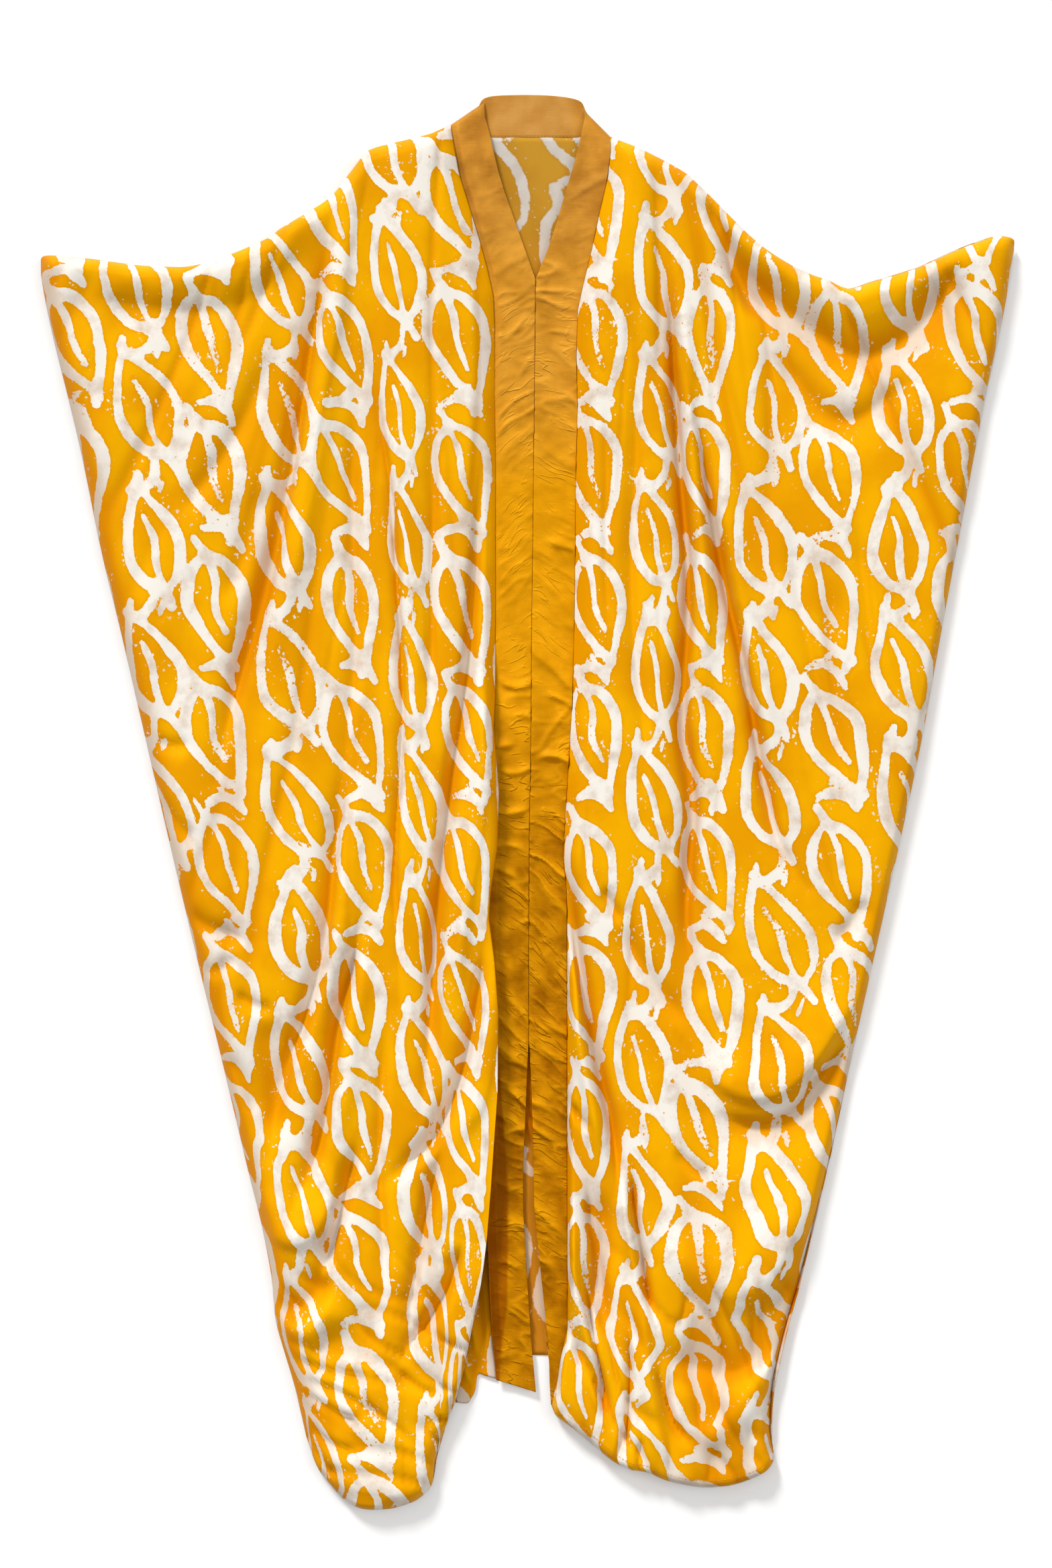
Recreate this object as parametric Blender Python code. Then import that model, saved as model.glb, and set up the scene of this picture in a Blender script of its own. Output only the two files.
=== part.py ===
"""An open-front kaftan of printed cloth, laid flat on a table.

The width runs along X, the length along Y with the collar at +Y, and +Z is up.
Sizes below are in millimetres on the table, and become metres when a mesh is made.
"""
import math

import bmesh
import bpy
import numpy as np

MM = 0.001

# cloth
CLOTH = 1.5                 # wall of each layer of cloth
LAYER_GAP = 0.3             # air between two layers that lie on each other
SEAM_GAP = 0.4              # air between the two bands at the centre seam
BAND_SEAM_GAP = 1.0         # air between a band and the front sewn to it
STEEPEST = 2.2              # most that a slope may stretch the wall, measured upright
LAYER_TWO = CLOTH + LAYER_GAP   # underside of what lies on the back

# loft of the two fronts
LOOSE = 16.0                # how high the front panels stand off the back
LOWEST_TROUGH = 4.4         # lowest that a trough may come away from the edges
FRONT_ROWS = 35             # rows from shoulder to hem
ROW_CROWDING = 0.035        # how far the rows draw together at the shoulder and the hem
BAND_COLUMNS = 4
BAND_ROWS = 62
BAND_V_ROW = 9              # row of a band at the point of the neck opening
BAND_SLIT_ROW = 46          # row of a band where the slit below its seam starts
V_POINT_Y = 546.0
SLIT_TOP_Y = -249.0
BACK_INSET = 1.2            # the back stops this far inside the outline
FOLD_END = 0.22             # share of a fold's length in which it dies away
FOLD_END_HEIGHT = 0.25      # share of its height that a fold still has at its end
CORNER_REACH = 45.0         # how far the lift at the seam carries on along the hem
UPRIGHT = 0.05              # least upright part of a slope that the wall is worked out for

# Columns of a front: share of the width from the side edge to the band.
FRONT_COLUMNS = np.concatenate((
    [0.0, 0.007, 0.02, 0.042],
    np.linspace(0.07, 0.93, 25),
    [0.96, 0.983, 1.0],
))

# How far the bands and the fronts beside them stand up round the neck: y, rise.
NECK_RISE = ((-800, 0), (330, 0), (450, 1.5), (600, 5.5), (670, 7), (712, 4), (740, 2))

# Outline of the left front (the left as it lies in view), as x, y from the middle.
LEFT_SIDE = (
    (-508.2, 566), (-506.8, 543), (-495.6, 487), (-468.3, 375), (-445.2, 263),
    (-424.9, 179), (-399, 67), (-373.1, -45), (-346.5, -157), (-319.2, -269),
    (-292.6, -381), (-278.6, -437), (-267.6, -493), (-265, -521), (-261, -549),
    (-244.5, -605), (-238, -632), (-231, -662),
)
LEFT_TOP = (
    (-508.2, 566), (-504, 569.2), (-490, 570), (-457.8, 567.4), (-411.6, 561),
    (-377, 559), (-349, 560), (-310, 571.6), (-270, 589), (-256, 599.6),
    (-209, 629), (-186, 656), (-171.5, 674.5), (-159, 683), (-127, 691),
    (-103.6, 697), (-79.8, 707.4),
)
LEFT_INNER = (
    (-79.8, 707.4), (-79.1, 699.7), (-71.4, 656), (-60.2, 620.5), (-49.7, 586),
    (-42, 558), (-35.7, 530), (-34.3, 499), (-34.3, 431.6), (-32.9, 362),
    (-32.9, 207), (-33.5, 112), (-35, 77), (-29.5, 12), (-31, -46), (-38, -92),
    (-40, -120), (-34, -165), (-30, -220), (-31, -300), (-38, -400), (-42, -450),
    (-48, -500), (-58, -550), (-68, -600), (-77, -630),
)
LEFT_BOTTOM = (
    (-231, -662), (-219.8, -693.4), (-205.8, -712.3), (-191.8, -727.7),
    (-177.8, -736.1), (-162.4, -738.9), (-141.4, -737.5), (-122.5, -731.9),
    (-112, -726.3), (-101.5, -715.8), (-98, -705.3), (-95.9, -688.5),
    (-87.5, -658.4), (-77, -630),
)

# Outline of the right front.
RIGHT_SIDE = (
    (508.2, 581), (507.5, 571), (503.3, 543), (492.8, 487), (474.6, 403),
    (453.6, 291), (432.6, 179), (412.3, 67), (388.5, -45), (363.3, -157),
    (338.1, -269), (312.9, -381), (284.9, -493), (272.3, -536.6),
    (263.2, -571.6), (255.5, -609), (253.4, -654), (256.5, -677),
)
RIGHT_TOP = (
    (508.2, 581), (506.5, 586.5), (500, 589.5), (488.6, 590.5), (471, 585),
    (443, 574), (408, 558), (359, 542.9), (336, 535.9), (313.6, 545),
    (285.6, 555.5), (250.6, 576.5), (226, 597.5), (194.6, 629), (177, 646),
    (163.1, 658), (138.6, 672), (110.6, 685), (86.8, 694.8),
)
RIGHT_INNER = (
    (86.8, 694.8), (86.8, 677), (82.6, 647), (74.9, 613.6), (66.5, 573.7),
    (57.4, 536.6), (52.5, 512.8), (51.1, 466.6), (52.3, 408), (50.4, 338.5),
    (49.4, 207), (46.9, 104.7), (42.7, 35.4), (39.9, -11.6), (37.5, -57.8),
    (41, -92.8), (41.3, -204), (41.3, -312), (41.3, -423), (42, -520),
    (42, -548), (34.5, -581), (31.7, -602), (28, -616), (25.3, -630),
)
RIGHT_BOTTOM = (
    (256.5, -677), (257.6, -686), (250.6, -697.6), (234.5, -706.7),
    (212, -713.7), (187.6, -715.8), (169.4, -714), (146, -708.8),
    (124, -700), (107, -697), (90.3, -689), (70, -673), (47.6, -654),
    (30.8, -641), (25.3, -630),
)

# Edges of the two bands: the neck edge, then the centre seam and the slit below it.
# A band's other edge keeps to the front beside it, and the rows named SEAM carry it on
# under the part of the front that lies over it.
BAND_LEFT_OPEN = (
    (-44.8, 731), (-44, 715), (-38.5, 695), (-30.8, 660), (-23, 634.6),
    (-11.2, 602), (-1.4, 574), (8.6, 546), (7, 385), (4.9, 207), (4.2, 137),
    (3.5, 58), (2.1, -35), (1.4, -143), (1.4, -249), (0, -279), (-1.4, -317),
    (-2.4, -341), (-4.2, -373), (-4.2, -423), (-1, -480), (4, -560), (9.1, -615.7),
)
BAND_LEFT_SEAM = (
    (-35, 77), (-37, 12), (-38.5, -46), (-40.5, -92), (-40.5, -250), (-42, -341),
    (-43, -423), (-39, -500), (-36, -560), (-32, -603),
)
BAND_RIGHT_OPEN = (
    (59.5, 722), (59.5, 713), (55.3, 693), (48.3, 665), (41.3, 641.6),
    (30.8, 606), (21.7, 578), (8.6, 546), (7, 385), (4.9, 207), (4.2, 137),
    (3.5, 58), (2.1, -35), (1.4, -143), (1.4, -249), (2.4, -265), (4.2, -298),
    (5.6, -341), (7, -423), (10.5, -460), (17, -520), (22.4, -574),
    (23.1, -606), (24.5, -629),
)
BAND_RIGHT_SEAM = ((41.6, -512), (43.5, -535), (47, -560), (55, -600), (60, -625))

# Collar strip behind the neck, its inner face up.
COLLAR_BACK = (
    (-62, 712), (-43.4, 736), (-16, 738.9), (27.3, 738), (53.9, 733),
    (68, 711), (64, 694.6), (-60, 694.6),
)

# Part of the left front that turns back under its own rolled edge to the band.
LEFT_TURN_HIDDEN = (
    (-50, 60), (-66, -40), (-76, -150), (-80, -300), (-82, -450), (-80, -560), (-73, -622),
)
LEFT_TURN_HEM = (
    (-70, -629), (-63, -628), (-58.8, -622.7), (-54.6, -613.6), (-52, -598),
    (-44, -599.5), (-36, -602.5),
)

# Hem of the back, seen between the fronts.
BACK_HEM = ((25, -600), (24, -578), (2, -578), (-30, -582), (-60, -588), (-84, -600))

# Where a front's edge ends: height over the table, then how wide it rounds off.
# Side, shoulder and hem edges come down to the back.
LEFT_SIDE_ROLL = 21.0
LEFT_TOP_ROLL = 14.0
LEFT_BOTTOM_ROLL = 26.0
RIGHT_SIDE_ROLL = 23.0
RIGHT_TOP_ROLL = 15.0
RIGHT_BOTTOM_ROLL = 17.0
# How wide the fronts round off to the seams with the bands: y, width.
LEFT_SEAM_ROLL = ((-800, 10), (-150, 10), (40, 14), (180, 30), (800, 30))
RIGHT_SEAM_ROLL = ((-800, 12), (-350, 16), (-60, 24), (120, 30), (800, 30))
NECK_TURN = 12.0            # the bands turn down to the collar strip at the neck's side
# Inner edge of the left front, which overhangs its band lower down: y, height.
LEFT_INNER_LIFT = (
    (-640, 4.2), (-600, 6), (-540, 10), (-100, 11), (-20, 10), (50, 8), (77, 5.5), (130, 2),
    (170, 0), (800, 0),
)
# Inner edge of the right front, which lies over its band at the hem: y, height.
RIGHT_INNER_LIFT = (
    (-640, 4.6), (-600, 6), (-540, 6.5), (-515, 5.5), (-490, 3), (-465, 0.8), (-445, 0), (800, 0),
)

# Folds: name, height (a trough is below zero), width on the left of the line and on
# its right as the line is followed, and the line itself.
LEFT_FOLDS = (
    ("sleeve_roll", 15, 14, 30,
     ((-495, 562), (-420, 553), (-350, 551), (-300, 563), (-255, 590), (-200, 628))),
    ("under_sleeve_roll", -5, 16, 16,
     ((-450, 530), (-400, 515), (-340, 511), (-300, 518), (-262, 548), (-225, 592))),
    ("sleeve_fall", -12, 15, 14,
     ((-203, 600), (-218, 510), (-234, 425), (-241, 380), (-256, 320), (-263, 250),
      (-274, 185), (-295, 130), (-310, 75))),
    ("beside_sleeve_fall", 8, 20, 26,
     ((-178, 600), (-190, 500), (-200, 400), (-215, 290), (-228, 190))),
    ("sleeve_branch", -5, 16, 18, ((-270, 310), (-290, 262), (-315, 205))),
    ("middle_crease", -7, 9, 9,
     ((-156, 420), (-148, 350), (-141, 280), (-136, 200), (-132, 110))),
    ("middle_soft", -4, 14, 14, ((-165, 240), (-170, 150), (-190, 60))),
    ("beside_band", -11, 13, 11,
     ((-44, 400), (-49, 330), (-53, 270), (-60, 160), (-69, 95), (-77, 45), (-84, -10),
      (-92, -70), (-98, -130), (-101, -190))),
    ("band_edge_roll", 9, 12, 10,
     ((-40, 150), (-42, 90), (-44, 30), (-50, -20), (-55, -70), (-62, -120))),
    ("left_lower", -10, 13, 15, ((-201, -40), (-206, -110), (-220, -175), (-236, -230), (-252, -285))),
    ("left_lower_second", -12, 15, 16,
     ((-182, -175), (-200, -240), (-208, -310), (-224, -375), (-248, -432))),
    ("diagonal", -12, 11, 15,
     ((-45, -125), (-50, -190), (-58, -240), (-71, -285), (-86, -328), (-108, -362), (-145, -395))),
    ("diagonal_roll", 7, 12, 10, ((-38, -190), (-42, -250), (-53, -310), (-72, -355))),
    ("lower_middle", -9, 11, 13, ((-88, -362), (-101, -405), (-111, -450), (-118, -500))),
    ("lower_inner", -11, 11, 14, ((-68, -470), (-86, -515), (-110, -547), (-136, -582))),
    ("lower_centre", -4, 13, 13, ((-146, -240), (-153, -358), (-149, -480), (-144, -560))),
    ("swag_side", -10, 12, 14, ((-176, -350), (-188, -400), (-200, -450), (-218, -500))),
    ("swag_bulge", 9, 26, 13,
     ((-284, -395), (-270, -440), (-243, -455), (-218, -440), (-204, -400))),
    ("swag_trough", -11, 34, 9, ((-275, -515), (-245, -530), (-218, -514), (-203, -490))),
    ("swag_ledge", 6, 8, 22, ((-262, -545), (-225, -545), (-198, -516))),
    ("side_dip", -8, 13, 14, ((-355, -125), (-330, -140), (-295, -147))),
    ("hem_wrinkle_high", -5, 9, 9, ((-246, -576), (-218, -589), (-165, -603))),
    ("hem_wrinkle_long", -5, 9, 9, ((-240, -598), (-200, -613), (-160, -635), (-115, -668))),
    ("hem_wrinkle_low", -5, 10, 10, ((-234, -640), (-205, -668), (-165, -677))),
)
RIGHT_FOLDS = (
    ("main_crease", -13, 12, 9,
     ((134, 590), (140, 540), (148, 475), (151, 410), (157, 360), (164, 300), (171, 235),
      (170, 190), (164, 140), (164, 80), (173, 25), (174, -25), (167, -75), (167, -120),
      (178, -172))),
    ("second_crease", -10, 15, 13,
     ((172, 490), (180, 420), (196, 290), (206, 240), (217, 190), (229, 130), (239, 75),
      (250, 15), (261, -25), (278, -60), (300, -108))),
    ("between_creases", 7, 12, 12, ((160, 480), (172, 400), (182, 320), (190, 240), (200, 150))),
    ("inner_soft", -4, 15, 15, ((112, 440), (114, 330), (108, 220), (113, 150), (120, 90))),
    ("shoulder_fall", -11, 15, 14, ((184, 632), (204, 592), (218, 556), (236, 522), (264, 498))),
    ("sleeve_crest_in", 7, 22, 12, ((336, 522), (300, 536), (255, 562), (215, 602))),
    ("sleeve_crest_out", 7, 12, 24, ((340, 522), (400, 546), (450, 568), (490, 582))),
    ("sleeve_swag", -13, 20, 22,
     ((268, 512), (300, 490), (330, 468), (366, 464), (396, 488), (424, 528), (460, 574))),
    ("sleeve_swag_low", -7, 18, 20, ((262, 472), (286, 430), (314, 402), (340, 420), (378, 440))),
    ("band_crease", -13, 10, 9,
     ((38, -60), (46, -110), (52, -160), (60, -205), (69, -255), (78, -295), (86, -328),
      (92, -365), (95, -410))),
    ("band_roll", 7, 10, 9, ((46, -180), (54, -250), (64, -310), (72, -350), (76, -380))),
    ("blotch", -7, 16, 16, ((104, -143), (124, -175), (150, -212), (170, -228))),
    ("swag_one", 11, 42, 15,
     ((180, -266), (205, -292), (232, -303), (262, -299), (287, -279), (305, -256), (345, -190))),
    ("under_swag_one", -5, 12, 28,
     ((208, -334), (236, -343), (264, -339), (286, -326), (306, -302), (334, -262))),
    ("swag_two", 11, 46, 34,
     ((138, -456), (166, -475), (196, -497), (226, -500), (248, -486), (265, -455), (300, -402))),
    ("under_swag_two", -7, 38, 11,
     ((150, -572), (184, -590), (216, -592), (246, -576), (264, -548), (284, -494))),
    ("swag_three", 8, 14, 24,
     ((162, -640), (184, -657), (200, -652), (216, -634), (240, -602), (258, -572))),
    ("shaded_trough", -8, 20, 20, ((74, -395), (80, -450), (76, -505), (88, -565))),
    ("hem_ridge", 8, 10, 9, ((45, -420), (48, -485), (57, -535), (69, -572), (79, -604))),
    ("hem_crease", -6, 7, 8, ((46, -558), (60, -585), (73, -612), (84, -645))),
    ("swag_end", 7, 11, 14, ((118, -500), (122, -560), (129, -620), (140, -668), (156, -700))),
)

# Soft waves of the bands: y of the middle, x slope of the line, height, width.
BAND_LEFT_WAVES = (
    (560, 0.7, 1.6, 9), (492, 0.8, 1.4, 8), (405, 0.9, 1.4, 9), (322, 0.7, 1.2, 10),
    (210, 0.9, 1.2, 11), (120, -0.3, 1.4, 12), (60, 0.4, 1.8, 11), (-12, 0.2, 2.2, 12),
    (-75, -0.5, 2.4, 11), (-140, -0.7, 2.6, 12), (-205, -0.8, 2.6, 11), (-262, -0.6, 2.2, 12),
    (-330, -0.4, 2, 11), (-400, -0.3, 1.6, 13), (-480, -0.4, 1.6, 14), (-560, -0.2, 1.4, 14),
)
BAND_RIGHT_WAVES = (
    (590, -0.2, 1.2, 12), (470, -0.3, 1, 12), (420, -0.4, 1.4, 9), (300, -0.2, 1.2, 10),
    (255, -0.6, 1.6, 9), (195, -0.8, 1.6, 11), (140, -0.8, 1.6, 12), (58, -0.1, 2.4, 9),
    (10, 0.3, 1.6, 12), (-65, -0.9, 2.4, 12), (-130, -0.7, 2.6, 12), (-195, -0.8, 2.4, 11),
    (-290, -0.6, 2.6, 10), (-350, -0.3, 2, 11), (-425, -0.3, 2.4, 12), (-520, -0.4, 1.8, 14),
)

# Colours are base colour, roughness.
PRINT_CLOTH = ((0.78, 0.37, 0.03, 1.0), 0.62)
PRINT_REVERSE = ((0.62, 0.45, 0.2, 1.0), 0.7)
SATIN = ((0.56, 0.27, 0.025, 1.0), 0.42)


def spread_along(dense, places):
    """Points of a line at shares of its length: a list of shares, or a count of even ones."""
    steps = np.linalg.norm(np.diff(dense, axis=0), axis=1)
    run = np.concatenate(([0.0], np.cumsum(steps)))
    wanted = np.asarray(places) if np.ndim(places) else np.linspace(0, 1, places)
    wanted = wanted * run[-1]
    return np.stack([np.interp(wanted, run, dense[:, k]) for k in (0, 1)], axis=1)


def smooth_line(points, places):
    """Points spread along a smooth line through the given ones."""
    pts = np.array(points, float)
    ends = np.vstack((2 * pts[0] - pts[1], pts, 2 * pts[-1] - pts[-2]))
    dense = []
    for i in range(len(pts) - 1):
        before, here, there, after = ends[i:i + 4]
        t = np.linspace(0, 1, 13)[:-1, None]
        dense.append(0.5 * (2 * here + (there - before) * t
                            + (2 * before - 5 * here + 4 * there - after) * t ** 2
                            + (3 * here - before - 3 * there + after) * t ** 3))
    return spread_along(np.vstack(dense + [pts[-1:]]), places)


def nearest_on_line(spots, line):
    """Distance from each spot to a line, its side (+1 is left) and the place along it."""
    line = np.array(line, float)
    lengths = np.linalg.norm(np.diff(line, axis=0), axis=1)
    starts = np.concatenate(([0.0], np.cumsum(lengths)))
    best = np.full(spots.shape[:-1], 1e9)
    side = np.ones_like(best)
    place = np.zeros_like(best)
    for i in range(len(line) - 1):
        along = line[i + 1] - line[i]
        away = spots - line[i]
        t = np.clip((away @ along) / lengths[i] ** 2, 0, 1)
        gap = away - t[..., None] * along
        reach = np.hypot(gap[..., 0], gap[..., 1])
        closer = reach < best
        turn = along[0] * gap[..., 1] - along[1] * gap[..., 0]
        best = np.where(closer, reach, best)
        side = np.where(closer, np.where(turn >= 0, 1.0, -1.0), side)
        place = np.where(closer, (starts[i] + t * lengths[i]) / starts[-1], place)
    return best, side, place


def ease(t):
    t = np.clip(t, 0, 1)
    return t * t * (3 - 2 * t)


def fold_height(spots, folds):
    """Sum of all the folds at each spot."""
    total = np.zeros(spots.shape[:-1])
    for _name, height, left_width, right_width, line in folds:
        reach, side, place = nearest_on_line(spots, line)
        width = np.where(side > 0, left_width, right_width)
        fade = ease(place / FOLD_END) * ease((1 - place) / FOLD_END)
        kept = FOLD_END_HEIGHT + (1 - FOLD_END_HEIGHT) * fade
        total += height * kept * np.exp(-(reach / width) ** 2)
    return total


def round_edge(height, spots, line, lift, roll):
    """Bring a panel down in a quarter round to the lift along one of its edges."""
    reach, _side, _place = nearest_on_line(spots, line)
    near = 1 - np.clip(reach / roll, 0, 1)
    return lift + (height - lift) * np.sqrt(1 - near ** 2)


def table_value(table, at):
    return np.interp(at, [row[0] for row in table], [row[1] for row in table])


def fill_between(top, bottom, side, inner, columns, rows):
    """Grid of plan points between four edges that meet at the corners."""
    u = columns[None, :, None]
    v = rows[:, None, None]
    top_line = smooth_line(top, columns)[None]
    bottom_line = smooth_line(bottom, columns)[None]
    side_line = smooth_line(side, rows)[:, None]
    inner_line = spread_along(np.array(inner, float), rows)[:, None]
    ruled = (1 - v) * top_line + v * bottom_line + (1 - u) * side_line + u * inner_line
    corners = ((1 - u) * (1 - v) * top_line[:, :1] + u * (1 - v) * top_line[:, -1:]
               + (1 - u) * v * bottom_line[:, :1] + u * v * bottom_line[:, -1:])
    return ruled - corners


def upright_wall(grid):
    """Height of the wall at each grid point so that the cloth keeps its thickness."""
    across = np.gradient(grid, axis=1)
    down = np.gradient(grid, axis=0)
    normal = np.cross(across, down)
    normal /= np.linalg.norm(normal, axis=2, keepdims=True)
    return CLOTH * np.minimum(1 / np.maximum(np.abs(normal[..., 2]), UPRIGHT), STEEPEST)


def finish_body(name, mesh_faces, finish, collection):
    """Turn a closed bmesh in millimetres into an object with its own material."""
    bmesh.ops.recalc_face_normals(mesh_faces, faces=mesh_faces.faces)
    bmesh.ops.scale(mesh_faces, vec=(MM, MM, MM), verts=mesh_faces.verts)
    mesh = bpy.data.meshes.new(name)
    mesh_faces.to_mesh(mesh)
    mesh_faces.free()
    colour, roughness = finish
    material = bpy.data.materials.new(name + "_cloth")
    material.use_nodes = True
    shader = material.node_tree.nodes["Principled BSDF"]
    shader.inputs["Base Color"].default_value = colour
    shader.inputs["Roughness"].default_value = roughness
    shader.inputs["Metallic"].default_value = 0.0
    mesh.materials.append(material)
    body = bpy.data.objects.new(name, mesh)
    collection.objects.link(body)
    return body


def cloth_body(name, grid, finish, collection):
    """Closed body of a lofted panel: the underside grid raised by the cloth's wall."""
    rows, columns = grid.shape[:2]
    wall = upright_wall(grid)
    shell = bmesh.new()
    verts = [[shell.verts.new(grid[r, c]) for c in range(columns)] for r in range(rows)]
    rise = {tuple(verts[r][c].co): wall[r, c] for r in range(rows) for c in range(columns)}
    for r in range(rows - 1):
        for c in range(columns - 1):
            shell.faces.new((verts[r][c], verts[r + 1][c], verts[r + 1][c + 1], verts[r][c + 1]))
    lifted = bmesh.ops.extrude_face_region(shell, geom=shell.faces[:])
    for item in lifted["geom"]:
        if isinstance(item, bmesh.types.BMVert):
            item.co.z += rise[tuple(item.co)]
    return finish_body(name, shell, finish, collection)


def flat_body(name, outline, base, finish, collection):
    """Flat cloth of a given outline, from its base height up by the cloth's wall."""
    sheet = bmesh.new()
    verts = [sheet.verts.new((x, y, base)) for x, y in outline]
    face = sheet.faces.new(verts)
    lifted = bmesh.ops.extrude_face_region(sheet, geom=[face])
    for item in lifted["geom"]:
        if isinstance(item, bmesh.types.BMVert):
            item.co.z += CLOTH
    return finish_body(name, sheet, finish, collection)


def front_grid(side, top, inner, bottom, folds, rolls, inner_lift):
    """Underside of a front panel, as it lies on the back."""
    side_roll, top_roll, bottom_roll, seam_roll = rolls
    rows = np.linspace(0, 1, FRONT_ROWS)
    rows = rows - ROW_CROWDING * np.sin(2 * math.pi * rows) / (2 * math.pi)
    plan = fill_between(top, bottom, side, inner, FRONT_COLUMNS, rows)
    y = plan[..., 1]
    neck = table_value(NECK_RISE, y)
    height = np.maximum(LOOSE + neck + fold_height(plan, folds), LOWEST_TROUGH)
    seam = table_value(inner_lift, y) + neck
    height = round_edge(height, plan, inner, seam, table_value(seam_roll, y))
    height = round_edge(height, plan, smooth_line(top, 120), 0.0, top_roll)
    height = round_edge(height, plan, smooth_line(side, 120), 0.0, side_roll)
    corner = np.array(inner[-1])
    near = 1 - ease(np.hypot(*(plan - corner).transpose(2, 0, 1)) / CORNER_REACH)
    low = near * table_value(inner_lift, inner[-1][1])
    height = round_edge(height, plan, smooth_line(bottom, 120), low, bottom_roll)
    return np.dstack((plan, LAYER_TWO + height))


def at_heights(line, heights):
    """Points of a line that runs down the garment, at the given y."""
    pts = np.array(line, float)
    x = np.interp(-heights, -pts[:, 1], pts[:, 0])
    return np.stack((x, heights), axis=1)


def band_grid(open_edge, seam_edge, waves, outward):
    """Underside of a band between its open edge and its seam with the front."""
    seam_edge = np.array(seam_edge, float)
    row = np.arange(BAND_ROWS)
    stops = (0, BAND_V_ROW, BAND_SLIT_ROW, BAND_ROWS - 1)
    open_y = np.interp(row, stops, (open_edge[0][1], V_POINT_Y, SLIT_TOP_Y, open_edge[-1][1]))
    seam_y = np.interp(row, stops, (seam_edge[0][1], V_POINT_Y - 4, SLIT_TOP_Y, seam_edge[-1][1]))
    open_line = at_heights(open_edge, open_y)
    seam_line = at_heights(seam_edge, seam_y)
    open_line[:, 0] += outward * SEAM_GAP / 2
    seam_line[:, 0] -= outward * BAND_SEAM_GAP
    across = np.linspace(0, 1, BAND_COLUMNS + 1)[None, :, None]
    plan = seam_line[:, None] * (1 - across) + open_line[:, None] * across
    x, y = plan[..., 0], plan[..., 1]
    middle = x.mean(axis=1, keepdims=True)
    height = table_value(NECK_RISE, y)
    for wave_y, slope, tall, width in waves:
        away = (y - wave_y - slope * (x - middle)) / math.hypot(1, slope)
        height = height + tall * np.exp(-(away / width) ** 2)
    height = round_edge(height, plan, (seam_line[0], open_line[0]), 0.0, NECK_TURN)
    return np.dstack((plan, LAYER_TWO + height))


def inset_outline(outline, inset):
    """Move each point of a closed outline straight inwards."""
    pts = np.array(outline, float)
    along = np.roll(pts, -1, axis=0) - np.roll(pts, 1, axis=0)
    along /= np.linalg.norm(along, axis=1, keepdims=True)
    area = np.sum(pts[:, 0] * np.roll(pts[:, 1], -1) - np.roll(pts[:, 0], -1) * pts[:, 1])
    inwards = np.stack((-along[:, 1], along[:, 0]), axis=1) * (1 if area > 0 else -1)
    return pts + inset * inwards


def back_outline():
    """All round the back: neck, right side, hem and left side, in order."""
    neck = [(-76, 695.4), (-40, 695.4), (8, 695.4), (56, 695.4), (82, 695.4)]
    left_top = smooth_line(LEFT_TOP, 34)[:-1]
    right_top = smooth_line(RIGHT_TOP, 34)[::-1][1:]
    right_side = smooth_line(RIGHT_SIDE, 30)[1:]
    right_hem = smooth_line(RIGHT_BOTTOM, 24)[1:-2]
    left_hem = smooth_line(LEFT_BOTTOM, 24)[::-1][3:]
    left_side = smooth_line(LEFT_SIDE, 30)[::-1][1:-1]
    pieces = [left_top, neck, right_top, right_side, right_hem, BACK_HEM, left_hem, left_side]
    outline = np.vstack([np.array(piece, float) for piece in pieces])
    return inset_outline(outline, BACK_INSET)


def left_turn_outline():
    """The turned-back strip: its hidden edge, its hem and its seam with the band."""
    seam = at_heights(BAND_LEFT_SEAM, np.linspace(-602, 60, 23))
    seam[:, 0] -= BAND_SEAM_GAP
    return np.vstack((LEFT_TURN_HIDDEN, LEFT_TURN_HEM, seam))


def seam_with(front, hidden):
    """A band's seam edge: along its front, then on under the part that lies over it."""
    free = [point for point in front[:, -1, :2] if point[1] > hidden[0][1] + 2]
    return np.vstack((free, hidden))


def clear_scene():
    for item in list(bpy.data.objects):
        bpy.data.objects.remove(item, do_unlink=True)


clear_scene()
garment = bpy.data.collections.new("kaftan")
bpy.context.scene.collection.children.link(garment)

left_grid = front_grid(
    LEFT_SIDE, LEFT_TOP, LEFT_INNER, LEFT_BOTTOM, LEFT_FOLDS,
    (LEFT_SIDE_ROLL, LEFT_TOP_ROLL, LEFT_BOTTOM_ROLL, LEFT_SEAM_ROLL), LEFT_INNER_LIFT)
right_grid = front_grid(
    RIGHT_SIDE, RIGHT_TOP, RIGHT_INNER, RIGHT_BOTTOM, RIGHT_FOLDS,
    (RIGHT_SIDE_ROLL, RIGHT_TOP_ROLL, RIGHT_BOTTOM_ROLL, RIGHT_SEAM_ROLL), RIGHT_INNER_LIFT)
left_band_grid = band_grid(
    BAND_LEFT_OPEN, seam_with(left_grid, BAND_LEFT_SEAM), BAND_LEFT_WAVES, -1)
right_band_grid = band_grid(
    BAND_RIGHT_OPEN, seam_with(right_grid, BAND_RIGHT_SEAM), BAND_RIGHT_WAVES, 1)

flat_body("back", back_outline(), 0.0, PRINT_REVERSE, garment)
flat_body("collar_back", COLLAR_BACK, 0.0, SATIN, garment)
flat_body("front_left_turn", left_turn_outline(), LAYER_TWO, PRINT_CLOTH, garment)
cloth_body("front_left", left_grid, PRINT_CLOTH, garment)
cloth_body("front_right", right_grid, PRINT_CLOTH, garment)
cloth_body("band_left", left_band_grid, SATIN, garment)
cloth_body("band_right", right_band_grid, SATIN, garment)
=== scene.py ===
import math
import random

import bpy
import numpy as np
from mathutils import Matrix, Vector, noise


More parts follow.
